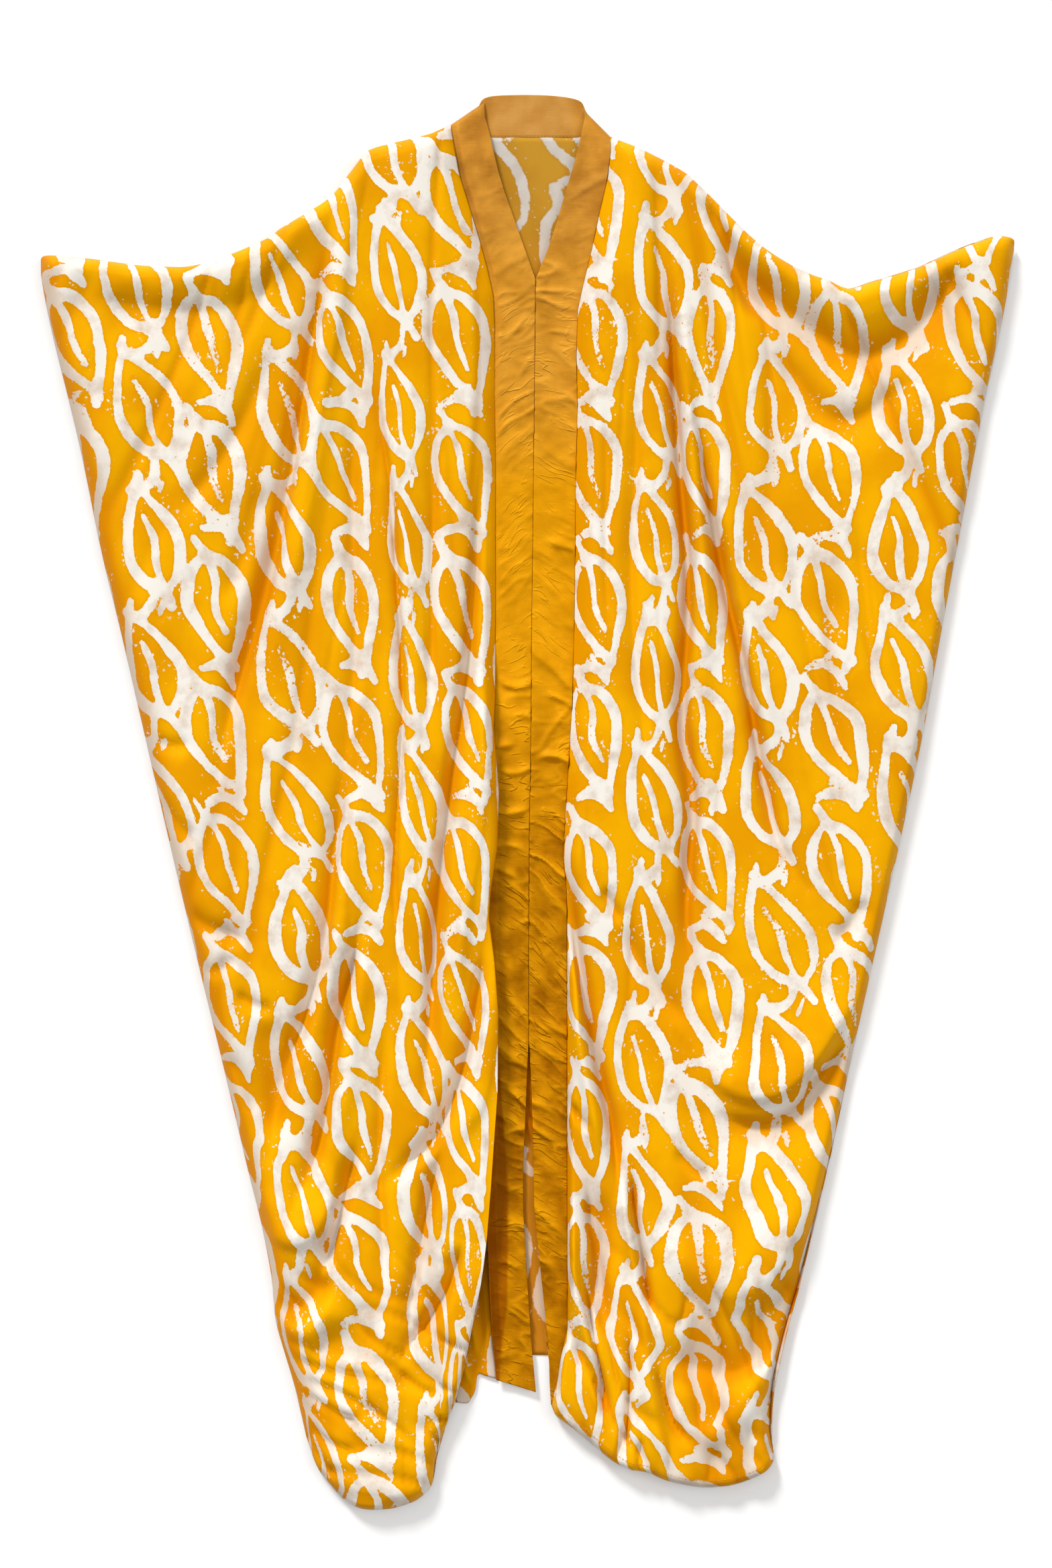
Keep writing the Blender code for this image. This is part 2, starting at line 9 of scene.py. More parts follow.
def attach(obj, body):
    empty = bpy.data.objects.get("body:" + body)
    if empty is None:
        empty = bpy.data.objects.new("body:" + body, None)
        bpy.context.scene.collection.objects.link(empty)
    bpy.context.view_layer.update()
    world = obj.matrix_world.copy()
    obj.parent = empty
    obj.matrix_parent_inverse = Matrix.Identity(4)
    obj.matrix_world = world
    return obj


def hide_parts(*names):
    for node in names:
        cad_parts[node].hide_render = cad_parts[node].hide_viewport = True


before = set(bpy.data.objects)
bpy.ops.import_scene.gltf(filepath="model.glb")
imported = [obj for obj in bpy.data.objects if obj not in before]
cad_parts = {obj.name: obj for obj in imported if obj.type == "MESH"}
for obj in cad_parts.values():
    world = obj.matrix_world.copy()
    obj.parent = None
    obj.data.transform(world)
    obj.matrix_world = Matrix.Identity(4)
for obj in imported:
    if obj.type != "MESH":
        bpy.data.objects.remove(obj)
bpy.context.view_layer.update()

mm = 0.001
scene = bpy.context.scene
scene.view_settings.view_transform = "Standard"  # keeps the mustard from greying


def hexToLinear(hexColour):
    parts = [int(hexColour[i:i + 2], 16) / 255 for i in (1, 3, 5)]
    return tuple(c / 12.92 if c <= 0.04045 else ((c + 0.055) / 1.055) ** 2.4 for c in parts) + (1.0,)


def addNode(tree, kind, feeds=None, out=0, **settings):
    # adds a node with its settings and links, and returns its output
    node = tree.nodes.new("ShaderNode" + kind)
    for key, value in settings.items():
        setattr(node, key, value)
    for socket, source in (feeds or {}).items():
        if isinstance(source, bpy.types.NodeSocket):
            tree.links.new(source, node.inputs[socket])
        else:
            node.inputs[socket].default_value = source
    return node.outputs[out]


def startMaterial(name, fixed):
    # values that are the same all over the surface go on the shader's own sockets
    material = bpy.data.materials.new(name)
    material.use_nodes = True
    shader = material.node_tree.nodes["Principled BSDF"]
    for socket, value in fixed.items():
        shader.inputs[socket].default_value = value
    return material, material.node_tree, shader


def span(low, high, toLow=0.0, toHigh=1.0):
    # the range sockets of a Map Range node
    return {1: low, 2: high, 3: toLow, 4: toHigh}


def runAlong(line):
    # how far along a line each of its points lies
    return np.concatenate(([0.0], np.cumsum(np.linalg.norm(np.diff(line, axis=0), axis=1))))


def spreadAlong(line, places):
    # points at equal steps along a line, or at given shares of its length
    line = np.array(line, float)
    run = runAlong(line)
    wanted = np.asarray(places) * run[-1] if np.ndim(places) else np.linspace(0, run[-1], places)
    return np.stack([np.interp(wanted, run, line[:, k]) for k in (0, 1)], axis=1)


def smoothLine(points, places):
    # a smooth curve through points, twelve steps from one to the next
    pts = np.array(points, float)
    ends = np.vstack((2 * pts[0] - pts[1], pts, 2 * pts[-1] - pts[-2]))
    t = np.linspace(0, 1, 13)[:-1, None]
    dense = []
    for i in range(len(pts) - 1):
        a, b, c, d = ends[i:i + 4]
        dense.append(0.5 * (2 * b + (c - a) * t + (2 * a - 5 * b + 4 * c - d) * t ** 2
                            + (3 * b - a - 3 * c + d) * t ** 3))
    return spreadAlong(np.vstack(dense + [pts[-1:]]), places)


def nearestOnLine(spots, line):
    # distance, side (+1 is left of the line) and place along it
    line = np.array(line, float)
    lengths = np.linalg.norm(np.diff(line, axis=0), axis=1)
    starts = np.concatenate(([0.0], np.cumsum(lengths)))
    best = np.full(spots.shape[:-1], 1e9)
    side = np.ones_like(best)
    place = np.zeros_like(best)
    for i in range(len(line) - 1):
        along = line[i + 1] - line[i]
        away = spots - line[i]
        t = np.clip((away @ along) / max(lengths[i], 1e-9) ** 2, 0, 1)
        gap = away - t[..., None] * along
        reach = np.hypot(gap[..., 0], gap[..., 1])
        closer = reach < best
        turn = along[0] * gap[..., 1] - along[1] * gap[..., 0]
        best = np.where(closer, reach, best)
        side = np.where(closer, np.where(turn >= 0, 1.0, -1.0), side)
        place = np.where(closer, (starts[i] + t * lengths[i]) / starts[-1], place)
    return best, side, place


def ease(t):
    t = np.clip(t, 0, 1)
    return t * t * (3 - 2 * t)


def tableValue(table, at):
    return np.interp(at, [row[0] for row in table], [row[1] for row in table])


# how far a fold reaches, how wide its crest or trough is, and how it dies out at both ends
foldShape = {"reach": 3.2, "crestWidth": 0.82, "troughWidth": 0.7, "endShare": 0.25, "endHeight": 0.12}


def foldHeight(spots, folds, shape=foldShape):
    # each fold: height, width left of its line, width right of it, point (2 soft, 1.2 sharp), line
    total = np.zeros(spots.shape[:-1])
    for height, leftWidth, rightWidth, point, line in folds:
        pad = shape["reach"] * max(leftWidth, rightWidth)
        near = ((spots > np.min(line, axis=0) - pad) & (spots < np.max(line, axis=0) + pad)).all(axis=-1)
        if not near.any():
            continue
        reach, side, place = nearestOnLine(spots[near], smoothLine(line, max(8, 4 * len(line))))
        share = shape["crestWidth" if height > 0 else "troughWidth"]
        width = share * np.where(side > 0, leftWidth, rightWidth)
        fade = ease(place / shape["endShare"]) * ease((1 - place) / shape["endShare"])
        strength = shape["endHeight"] + (1 - shape["endHeight"]) * fade
        total[near] += height * strength * np.exp(-(reach / width) ** point)
    return total


def roundEdge(height, spots, line, lift, roll, slump=0.5):
    # lowers the cloth to lift at a line: slump 0.5 is a round roll, 1 a flatter sloping one
    reach = nearestOnLine(spots, line)[0]
    near = 1 - np.clip(reach / roll, 0, 1)
    return lift + (height - lift) * (1 - near ** 2) ** slump


def fillBetween(top, bottom, side, inner, columns, rows):
    # a sheet of points between four edge lines
    u, v = columns[None, :, None], rows[:, None, None]
    top, bottom, side, inner = top[None], bottom[None], side[:, None], inner[:, None]
    ruled = (1 - v) * top + v * bottom + (1 - u) * side + u * inner
    corners = ((1 - u) * (1 - v) * top[:, :1] + u * (1 - v) * top[:, -1:]
               + (1 - u) * v * bottom[:, :1] + u * v * bottom[:, -1:])
    return ruled - corners


def softNoise(spots, size, stretch, seed):
    # smooth noise with grains of a size in mm, longer down the cloth by stretch
    flat = spots.reshape(-1, 2)
    values = [noise.noise(Vector((x / size, y / (size * stretch), seed))) for x, y in flat]
    return np.array(values).reshape(spots.shape[:-1])


def cutCoordinates(grid, start):
    # length over the cloth from the band edge, and down it, so that the print follows the folds
    across = np.linalg.norm(np.diff(grid, axis=1), axis=2)[:, ::-1]
    run = np.concatenate((np.zeros((len(grid), 1)), np.cumsum(across, axis=1)), axis=1)[:, ::-1]
    run = np.sign(start) * run + grid[:, -1:, 0]
    return np.dstack((run, grid[..., 1]))


# the brushed print: generic leaves and commas, in mm of flat cloth
leafPrint = {
    "columnPitch": 76, "rowPitch": 137, "jitter": 4.5, "tilt": 17, "swing": 7, "commaTurn": -1.4,
    "size": 0.87, "sizes": (0.94, 1.05), "swells": (0.86, 1.16),
    "dryness": (0.0, 0.0, 0.3, 0.5, 1.1), "dryAllOver": 0.2,
    # a stroke's width, how its line shakes, its outline, and how far wet strokes run together
    "strokeWidth": 11.7, "shake": 2, "body": 0.70, "belly": 0.34, "slowWaver": 0.12, "fastWaver": 0.04,
    "web": 5, "reach": 100, "margin": 90, "bare": -60,
    # strokes: share of the stroke width, dryness at the end, points
    "leaf": (
        (1.0, 0.15, ((7, -86), (0, -64), (-21, -47), (-34, -18), (-30, 12), (-17, 42), (-3, 66), (7, 83))),
        (0.95, 0.3, ((1, -64), (22, -47), (34, -16), (30, 14), (16, 44), (2, 68), (-3, 75))),
        (0.68, 0.9, ((0, -62), (-3, -30), (2, 2), (-1, 32))),
    ),
    "comma": (
        (0.9, 0.5, ((-12, -24), (1, -14), (8, 4), (1, 24))),
        (0.5, 0.6, ((21, -10), (19, 4))),
    ),
}


def brushField(cut, seed, style=leafPrint):
    # millimetres inside (+) or outside (-) the brush strokes, and how dry the brush is
    spots = cut.reshape(-1, 2)
    edge = np.full(len(spots), float(style["bare"]))
    dry = np.zeros(len(spots))
    chance = random.Random(seed)
    low, high = spots.min(axis=0) - style["margin"], spots.max(axis=0) + style["margin"]
    firstColumn, lastColumn = (int(math.floor(v / style["columnPitch"])) for v in (low[0], high[0]))
    firstRow, lastRow = (int(math.floor(v / style["rowPitch"])) for v in (low[1], high[1]))
    motifs = [(column, row, kind, drop) for column in range(firstColumn, lastColumn + 1)
              for row in range(firstRow, lastRow + 1) for kind, drop in (("leaf", 0.0), ("comma", 0.5))]
    for column, row, kind, drop in motifs:
        middle = np.array((column * style["columnPitch"],
                           (row + drop + 0.5 * (column % 2)) * style["rowPitch"]))
        middle += [chance.uniform(-1, 1) * style["jitter"] for _ in (0, 1)]
        turned = 180 * (column % 2)  # every other column hangs the other way
        angle = math.radians(turned + style["tilt"] + chance.uniform(-style["swing"], style["swing"]))
        if kind == "comma":
            angle = angle * style["commaTurn"]
        scale, swell = style["size"] * chance.uniform(*style["sizes"]), chance.uniform(*style["swells"])
        dryness = chance.choice(style["dryness"])
        near = np.flatnonzero(np.hypot(*(spots - middle).T) < style["reach"])
        if not len(near):
            continue
        turn = np.array(((math.cos(angle), math.sin(angle)), (-math.sin(angle), math.cos(angle))))
        shake = style["shake"]
        for width, dryEnd, points in style[kind]:
            shaken = [[v + chance.uniform(-shake, shake) for v in point] for point in points]
            line = smoothLine(shaken, 44) * scale @ turn + middle
            t = np.linspace(0, 1, len(line))
            beat = chance.uniform(0, 6)
            half = style["strokeWidth"] / 2 * width * swell * (
                style["body"] + style["belly"] * np.sin(math.pi * t ** 0.8)
                + style["slowWaver"] * np.sin(7 * t + beat) + style["fastWaver"] * np.sin(19 * t + 2 * beat))
            inside = half[None] - np.linalg.norm(spots[near][:, None] - line[None], axis=2)
            pick = inside.argmax(axis=1)
            depth = inside[np.arange(len(pick)), pick]
            before = edge[near]
            # strokes that meet run together in a web, as wet wax does
            overlap = np.maximum(style["web"] - np.abs(before - depth), 0)
            edge[near] = np.maximum(before, depth) + overlap ** 2 / (4 * style["web"])
            newDry = np.clip(dryEnd * dryness * t[pick] ** 2 + style["dryAllOver"] * dryness, 0, 1)
            dry[near] = np.where(depth > before, newDry, dry[near])
    return edge.reshape(cut.shape[:-1]), dry.reshape(cut.shape[:-1])


def clothMesh(name, grid, cut=None, wall=0.6, fields=None, materials=()):
    # a sheet from a grid in mm, with its cut as UVs in metres and a thin wall under it
    rows, columns = grid.shape[:2]
    index = np.arange(rows * columns).reshape(rows, columns)
    quads = np.stack((index[:-1, :-1], index[1:, :-1], index[1:, 1:], index[:-1, 1:]), axis=-1)
    quads = quads.reshape(-1, 4)
    a, b, d = grid[0, 0], grid[0, -1], grid[-1, 0]
    if np.cross((d - a)[:2], (b - a)[:2]) < 0:
        quads = quads[:, ::-1]
    mesh = bpy.data.meshes.new(name)
    mesh.from_pydata((grid.reshape(-1, 3) * mm).tolist(), [], quads.tolist())
    flat = (cut if cut is not None else grid[..., :2]).reshape(-1, 2) * mm
    loops = np.empty(len(mesh.loops), int)
    mesh.loops.foreach_get("vertex_index", loops)
    mesh.uv_layers.new(name="cut").data.foreach_set("uv", flat[loops].astype(np.float32).ravel())
    for key, values in (fields or {}).items():
        layer = mesh.attributes.new(key, "FLOAT", "POINT")
        layer.data.foreach_set("value", values.astype(np.float32).ravel())
    mesh.shade_smooth()
    piece = bpy.data.objects.new(name, mesh)
    scene.collection.objects.link(piece)
    for material in materials:
        mesh.materials.append(material)
    solid = piece.modifiers.new("wall", "SOLIDIFY")
    solid.thickness = wall * mm
    solid.offset = -1
    if len(materials) > 1:
        solid.material_offset = 1
    return piece


# the camera looks straight down
view = {"lens": 85, "sensor": 36, "middle": (-0.0014, 0.0189), "frameHeight": 1.6359, "clothHeight": 0.008}

camera = bpy.data.objects.new("camera", bpy.data.cameras.new("camera"))
camera.data.lens = view["lens"]
camera.data.sensor_width = view["sensor"]
distance = view["frameHeight"] * view["lens"] / view["sensor"]
camera.location = (*view["middle"], distance + view["clothHeight"])
camera.data.clip_end = 50
scene.collection.objects.link(camera)
scene.camera = camera

# a wide box overhead, a small low key past the collar to its left, a weak box on the right
studio = {
    # strength, softness in degrees, turn from the collar, height over the table
    "boxes": {"wide box": (1.64, 110, -4, 74), "key box": (2.85, 12, -25, 30),
              "right box": (0.45, 24, 80, 45)},
    "boxColour": "#FFFEFC", "fillColour": "#FBFCFF", "fillStrength": 0.063,
    "floorHalf": 6, "floorColour": "#E2E2E2", "floorGlow": 0.2,  # the table is lit a little from below
}

for name, (strength, softness, turn, height) in studio["boxes"].items():
    across, up = math.radians(turn), math.radians(height)
    aim = Vector((math.sin(across) * math.cos(up), math.cos(across) * math.cos(up), math.sin(up)))
    box = bpy.data.objects.new(name, bpy.data.lights.new(name, "SUN"))
    box.data.energy = strength
    box.data.angle = math.radians(softness)
    box.data.color = hexToLinear(studio["boxColour"])[:3]
    box.rotation_euler = aim.to_track_quat("Z", "Y").to_euler()
    scene.collection.objects.link(box)

world = bpy.data.worlds.new("studio")
world.use_nodes = True
fill = world.node_tree.nodes["Background"]
fill.inputs["Color"].default_value = hexToLinear(studio["fillColour"])
fill.inputs["Strength"].default_value = studio["fillStrength"]
scene.world = world

# smooth paper: pale, without gloss
half = studio["floorHalf"]
corners = [(x * half, y * half, 0) for x, y in ((-1, -1), (1, -1), (1, 1), (-1, 1))]
floorMesh = bpy.data.meshes.new("floor")
floorMesh.from_pydata(corners, [], [(0, 1, 2, 3)])
floor = bpy.data.objects.new("floor", floorMesh)
scene.collection.objects.link(floor)
paper = startMaterial("mattStudioPaper", {
    "Base Color": hexToLinear(studio["floorColour"]), "Roughness": 0.9, "Specular IOR Level": 0.1,
    "Emission Color": (1.0, 1.0, 1.0, 1.0), "Emission Strength": studio["floorGlow"]})[0]
floorMesh.materials.append(paper)
print("camera, light and floor set")

printGrain = {
    # grain in mm, detail and roughness of each noise
    "wobble": (12, 2, 0.5), "ragged": (3, 3, 0.5),  # the strokes' edges
    "skips": (4.5, 4, 0.5),  # where dye broke through the wax
    "flecks": (5, 3, 0.5), "patches": (40, 2, 0.5),  # drops of wax beside the strokes
    "cloud": (110, 4, 0.5), "mottle": (30, 5, 0.6),  # how evenly the dye took
    # threads 0.25 mm apart are too fine to show, so the weave is drawn at 0.9 mm
    "weave": (0.9, 2, 0.5), "slub": (7, 4, 0.5),
}


def printedViscose(name, look):
    # light woven viscose, wax-resist dyed: strong matt colour with a faint soft gloss, brush
    # strokes left undyed, their edges ragged and a little dye pooled round them
    material, tree, shader = startMaterial(name, {
        "Specular IOR Level": 0.22, "Specular Tint": hexToLinear("#FFC848")})
    cut = addNode(tree, "UVMap", uv_map="cut")
    # the third attribute is painted shade
    edge, dry, paintedShade = (addNode(tree, "Attribute", out="Fac", attribute_name=key)
                           for key in ("brushEdge", "brushDry", "paintedShade"))
    grain = {key: addNode(tree, "TexNoise", {
        "Vector": cut, "Scale": 1 / (size * mm), "Detail": detail, "Roughness": roughness},
        noise_dimensions="2D") for key, (size, detail, roughness) in printGrain.items()}
    raggedBy = addNode(tree, "Math", {0: dry, 1: look["raggedDry"], 2: look["ragged"]},
                       operation="MULTIPLY_ADD")
    raggedMove, wobbleMove = (addNode(tree, "Math", {0: grain[key], 1: 0.5}, operation="SUBTRACT")
                              for key in ("ragged", "wobble"))
    wobbled = addNode(tree, "Math", {0: wobbleMove, 1: look["wobble"], 2: edge}, operation="MULTIPLY_ADD")
    brush = addNode(tree, "Math", {0: raggedMove, 1: raggedBy, 2: wobbled}, operation="MULTIPLY_ADD")
    stroke = addNode(tree, "MapRange", {0: brush, **span(-look["blur"], look["blur"])},
                     interpolation_type="SMOOTHSTEP")
    skipLevel = addNode(tree, "Math", {0: dry, 1: look["dryCoverage"], 2: grain["skips"]},
                        operation="MULTIPLY_ADD")
    covered = addNode(tree, "MapRange", {0: skipLevel, **span(*look["skipRange"])},
                      interpolation_type="SMOOTHSTEP")
    fleckLevel = addNode(tree, "Math", {0: grain["patches"], 1: look["fleckPatches"], 2: grain["flecks"]},
                         operation="MULTIPLY_ADD")
    fleckShape = addNode(tree, "MapRange", {0: fleckLevel, **span(*look["fleckRange"])})
    beside = addNode(tree, "MapRange", {0: edge, **span(*look["fleckReach"])})
    solid, spatter = (addNode(tree, "Math", {0: first, 1: second}, operation="MULTIPLY")
                      for first, second in ((stroke, covered), (fleckShape, beside)))
    undyed = addNode(tree, "Math", {0: solid, 1: spatter}, operation="MAXIMUM")
    tookDye = addNode(tree, "MapRange", {0: grain["cloud"], **span(*look["dyeRange"])},
                      interpolation_type="SMOOTHSTEP")
    pool = addNode(tree, "MapRange", {0: brush, **span(*look["poolReach"])})
    poolPart = addNode(tree, "Math", {0: pool, 1: look["pool"]}, operation="MULTIPLY")
    mottled = addNode(tree, "MapRange", {0: grain["mottle"], **span(*look["mottleRange"])})
    inks = {key: hexToLinear(value) for key, value in look["colours"].items()}
    for result, factor, first, second in (
            ("dyed", tookDye, "dyeDeep", "dye"), ("dyedEdge", poolPart, "dyed", "pooled"),
            ("white", mottled, "undyed", "undyedShade"),
            # painted shade: in hollows, creases, by the side rims, in the slit and under edges the colour is
            # mixed towards the shaded colours
            ("dyedShaded", paintedShade, "dyedEdge", "shadedDye"), ("whiteShaded", paintedShade, "white", "shadedUndyed"),
            ("print", undyed, "dyedShaded", "whiteShaded")):
        inks[result] = addNode(tree, "Mix", {"Factor": factor, 6: inks[first], 7: inks[second]},
                               out=2, data_type="RGBA")
    tree.links.new(inks["print"], shader.inputs["Base Color"])
    relief = addNode(tree, "Math", {0: grain["slub"], 1: look["slubs"], 2: grain["weave"]},
                     operation="MULTIPLY_ADD")
    bump = addNode(tree, "Bump", {
        "Height": relief, "Strength": look["bump"], "Distance": look["reliefHeight"] * mm})
    tree.links.new(bump, shader.inputs["Normal"])
    rough = addNode(tree, "MapRange", {0: grain["mottle"], **span(0, 1, *look["roughness"])})
    tree.links.new(rough, shader.inputs["Roughness"])
    return material


printLook = {
    # the last colour on each line is painted shade
    "colours": {"dye": "#EEAA00", "dyeDeep": "#E29800", "pooled": "#CC8200", "shadedDye": "#D68600",
                "undyed": "#EEE9E1", "undyedShade": "#D2C0AF", "shadedUndyed": "#D2BEAA"},
    # mm that a stroke's edge strays, where the brush is dry too, and half its blur
    "wobble": 2.2, "ragged": 1.0, "raggedDry": 4.5, "blur": 0.18,
    # mm from the strokes that pooled dye and flecks reach, and the noise levels between which things show
    "pool": 0.35, "poolReach": (-3.2, -0.4), "fleckReach": (-11.0, -4.0), "fleckRange": (1.03, 1.045),
    "fleckPatches": 0.55, "dryCoverage": -0.30, "skipRange": (0.17, 0.21), "dyeRange": (0.36, 0.62),
    "mottleRange": (0.46, 0.74), "slubs": 2.5, "reliefHeight": 0.3,
    "roughness": (0.57, 0.69), "bump": 0.07,
}
# the back of the cloth, where less dye comes through; its last dyed and undyed colours are painted shade for
# the slit and the neck
reverseLook = dict(printLook, wobble=3.0, ragged=1.6, blur=0.9, roughness=(0.67, 0.79), colours={
    "dye": "#BE902F", "dyeDeep": "#AF8126", "pooled": "#A67A29", "shadedDye": "#BE6600",
    "undyed": "#C6C5C1", "undyedShade": "#B7B5B0", "shadedUndyed": "#D8A674"})
printFace = printedViscose("resistPrintedViscose", printLook)
printReverse = printedViscose("resistPrintedViscoseReverse", reverseLook)


def goldSateen(name, look):
    # cotton-backed sateen, its floats running across the band: soft wide highlights along the
    # crumples, painted shade in their hollows and towards the hem, a painted shadow where the left front
    # overhangs, and browner towards the neck
    material, tree, shader = startMaterial(name, {
        "Specular IOR Level": 0.26, "Specular Tint": hexToLinear("#FFC23C"), "Anisotropic": 0.25})
    cut = addNode(tree, "UVMap", uv_map="cut")
    neckTone, paintedShade, frontShadow, bentAlong, creased = (
        addNode(tree, "Attribute", out="Fac", attribute_name=key)
        for key in ("neckTone", "paintedShade", "frontShadow", "bentAlong", "creased"))
    cutX = addNode(tree, "SeparateXYZ", {"Vector": cut})
    bentCut = addNode(tree, "CombineXYZ", {"X": cutX, "Y": bentAlong})
    grain = {}
    for key, place, (long, short), detail in (("floats", cut, look["floatSize"], 3.0),
                                              ("crumples", bentCut, look["creaseSize"], 1.5),
                                              ("cloud", cut, look["cloudSize"], 4.0),
                                              ("puckers", cut, look["puckerSize"], 3.0)):
        scaled = addNode(tree, "Mapping", {
            "Vector": place, "Scale": (1 / (long * mm), 1 / (short * mm), 1.0)})
        grain[key] = addNode(tree, "TexNoise", {"Vector": scaled, "Scale": 1.0, "Detail": detail},
                             noise_dimensions="2D")
    tone = addNode(tree, "Math", {0: grain["floats"], 1: 0.2, 2: grain["cloud"]}, operation="MULTIPLY_ADD")
    toneShape = addNode(tree, "MapRange", {0: tone, **span(*look["toneRange"])})
    inks = {key: hexToLinear(value) for key, value in look["colours"].items()}
    for result, factor, first, second in (
            ("gold", toneShape, "deep", "face"), ("neckGold", toneShape, "neckDeep", "neckFace"),
            ("upper", neckTone, "gold", "neckGold"), ("low", toneShape, "shadedDeep", "shadedFace"),
            # painted shade low down and in hollows, then the left front's painted shadow
            ("lower", paintedShade, "upper", "low"), ("satin", frontShadow, "lower", "frontShadowInk")):
        inks[result] = addNode(tree, "Mix", {"Factor": factor, 6: inks[first], 7: inks[second]},
                               out=2, data_type="RGBA")
    tree.links.new(inks["satin"], shader.inputs["Base Color"])
    relief = addNode(tree, "Math", {0: grain["puckers"], 1: 3.0, 2: grain["floats"]},
                     operation="MULTIPLY_ADD")
    fineBump = addNode(tree, "Bump", {"Height": relief, "Strength": look["bump"], "Distance": 0.4 * mm})
    # sharp little creases along the crumples, 1 to 2 mm wide, in patches
    fromLine = addNode(tree, "Math", {0: grain["crumples"], 1: 0.5}, operation="SUBTRACT")
    besideLine = addNode(tree, "Math", {0: fromLine}, operation="ABSOLUTE")
    creaseLine = addNode(tree, "MapRange", {0: besideLine, **span(0, look["creaseWidth"], 1, 0)},
                         interpolation_type="SMOOTHSTEP")
    creaseTall = addNode(tree, "MapRange", {0: grain["cloud"], **span(*look["creaseRange"])})
    for part in (creaseLine, creased):
        creaseTall = addNode(tree, "Math", {0: creaseTall, 1: part}, operation="MULTIPLY")
    bump = addNode(tree, "Bump", {
        "Height": creaseTall, "Strength": 1.0, "Distance": look["creaseTall"] * mm, "Normal": fineBump})
    tree.links.new(bump, shader.inputs["Normal"])
    rough = addNode(tree, "MapRange", {0: grain["floats"], **span(0, 1, *look["roughness"])})
    tree.links.new(rough, shader.inputs["Roughness"])
    return material


sateenLook = {
    # the last three colours are painted shade and the left front's painted shadow
    "colours": {"face": "#E39C0A", "deep": "#CE8A04", "neckFace": "#CC954C", "neckDeep": "#BC8239",
                "shadedFace": "#C98404", "shadedDeep": "#925600", "frontShadowInk": "#8C4400"},
    "floatSize": (16, 0.9),  # mm; real floats are 0.1 mm apart, too fine to show
    "cloudSize": (30, 30), "puckerSize": (8, 8),
    "creaseSize": (42, 13), "creaseWidth": 0.05, "creaseRange": (0.49, 0.61), "creaseTall": 1.1,
    "toneRange": (0.40, 0.80), "roughness": (0.42, 0.52), "bump": 0.2,
}
sateen = goldSateen("goldSateen", sateenLook)

# spun polyester sewing thread in the dye's colour: matt, its twist just seen
threadLook = {"low": "#C07C08", "high": "#F0AC30", "twist": 0.8, "roughness": 0.6}
thread, threadTree, threadShader = startMaterial("spunPolyesterThread", {
    "Roughness": threadLook["roughness"]})
threadPlace = addNode(threadTree, "TexCoord", out="Object")
threadTwist = addNode(threadTree, "TexNoise", {
    "Vector": threadPlace, "Scale": 1 / (threadLook["twist"] * mm)})
threadColour = addNode(threadTree, "Mix", {
    "Factor": threadTwist, 6: hexToLinear(threadLook["low"]), 7: hexToLinear(threadLook["high"])},
    out=2, data_type="RGBA")
threadTree.links.new(threadColour, threadShader.inputs["Base Color"])
print("materials made")

# how far the cloth rises towards the neck: y, mm
neckRise = ((-800, 0), (330, 0), (450, 1.5), (600, 5.5), (670, 7), (712, 4), (740, 2))

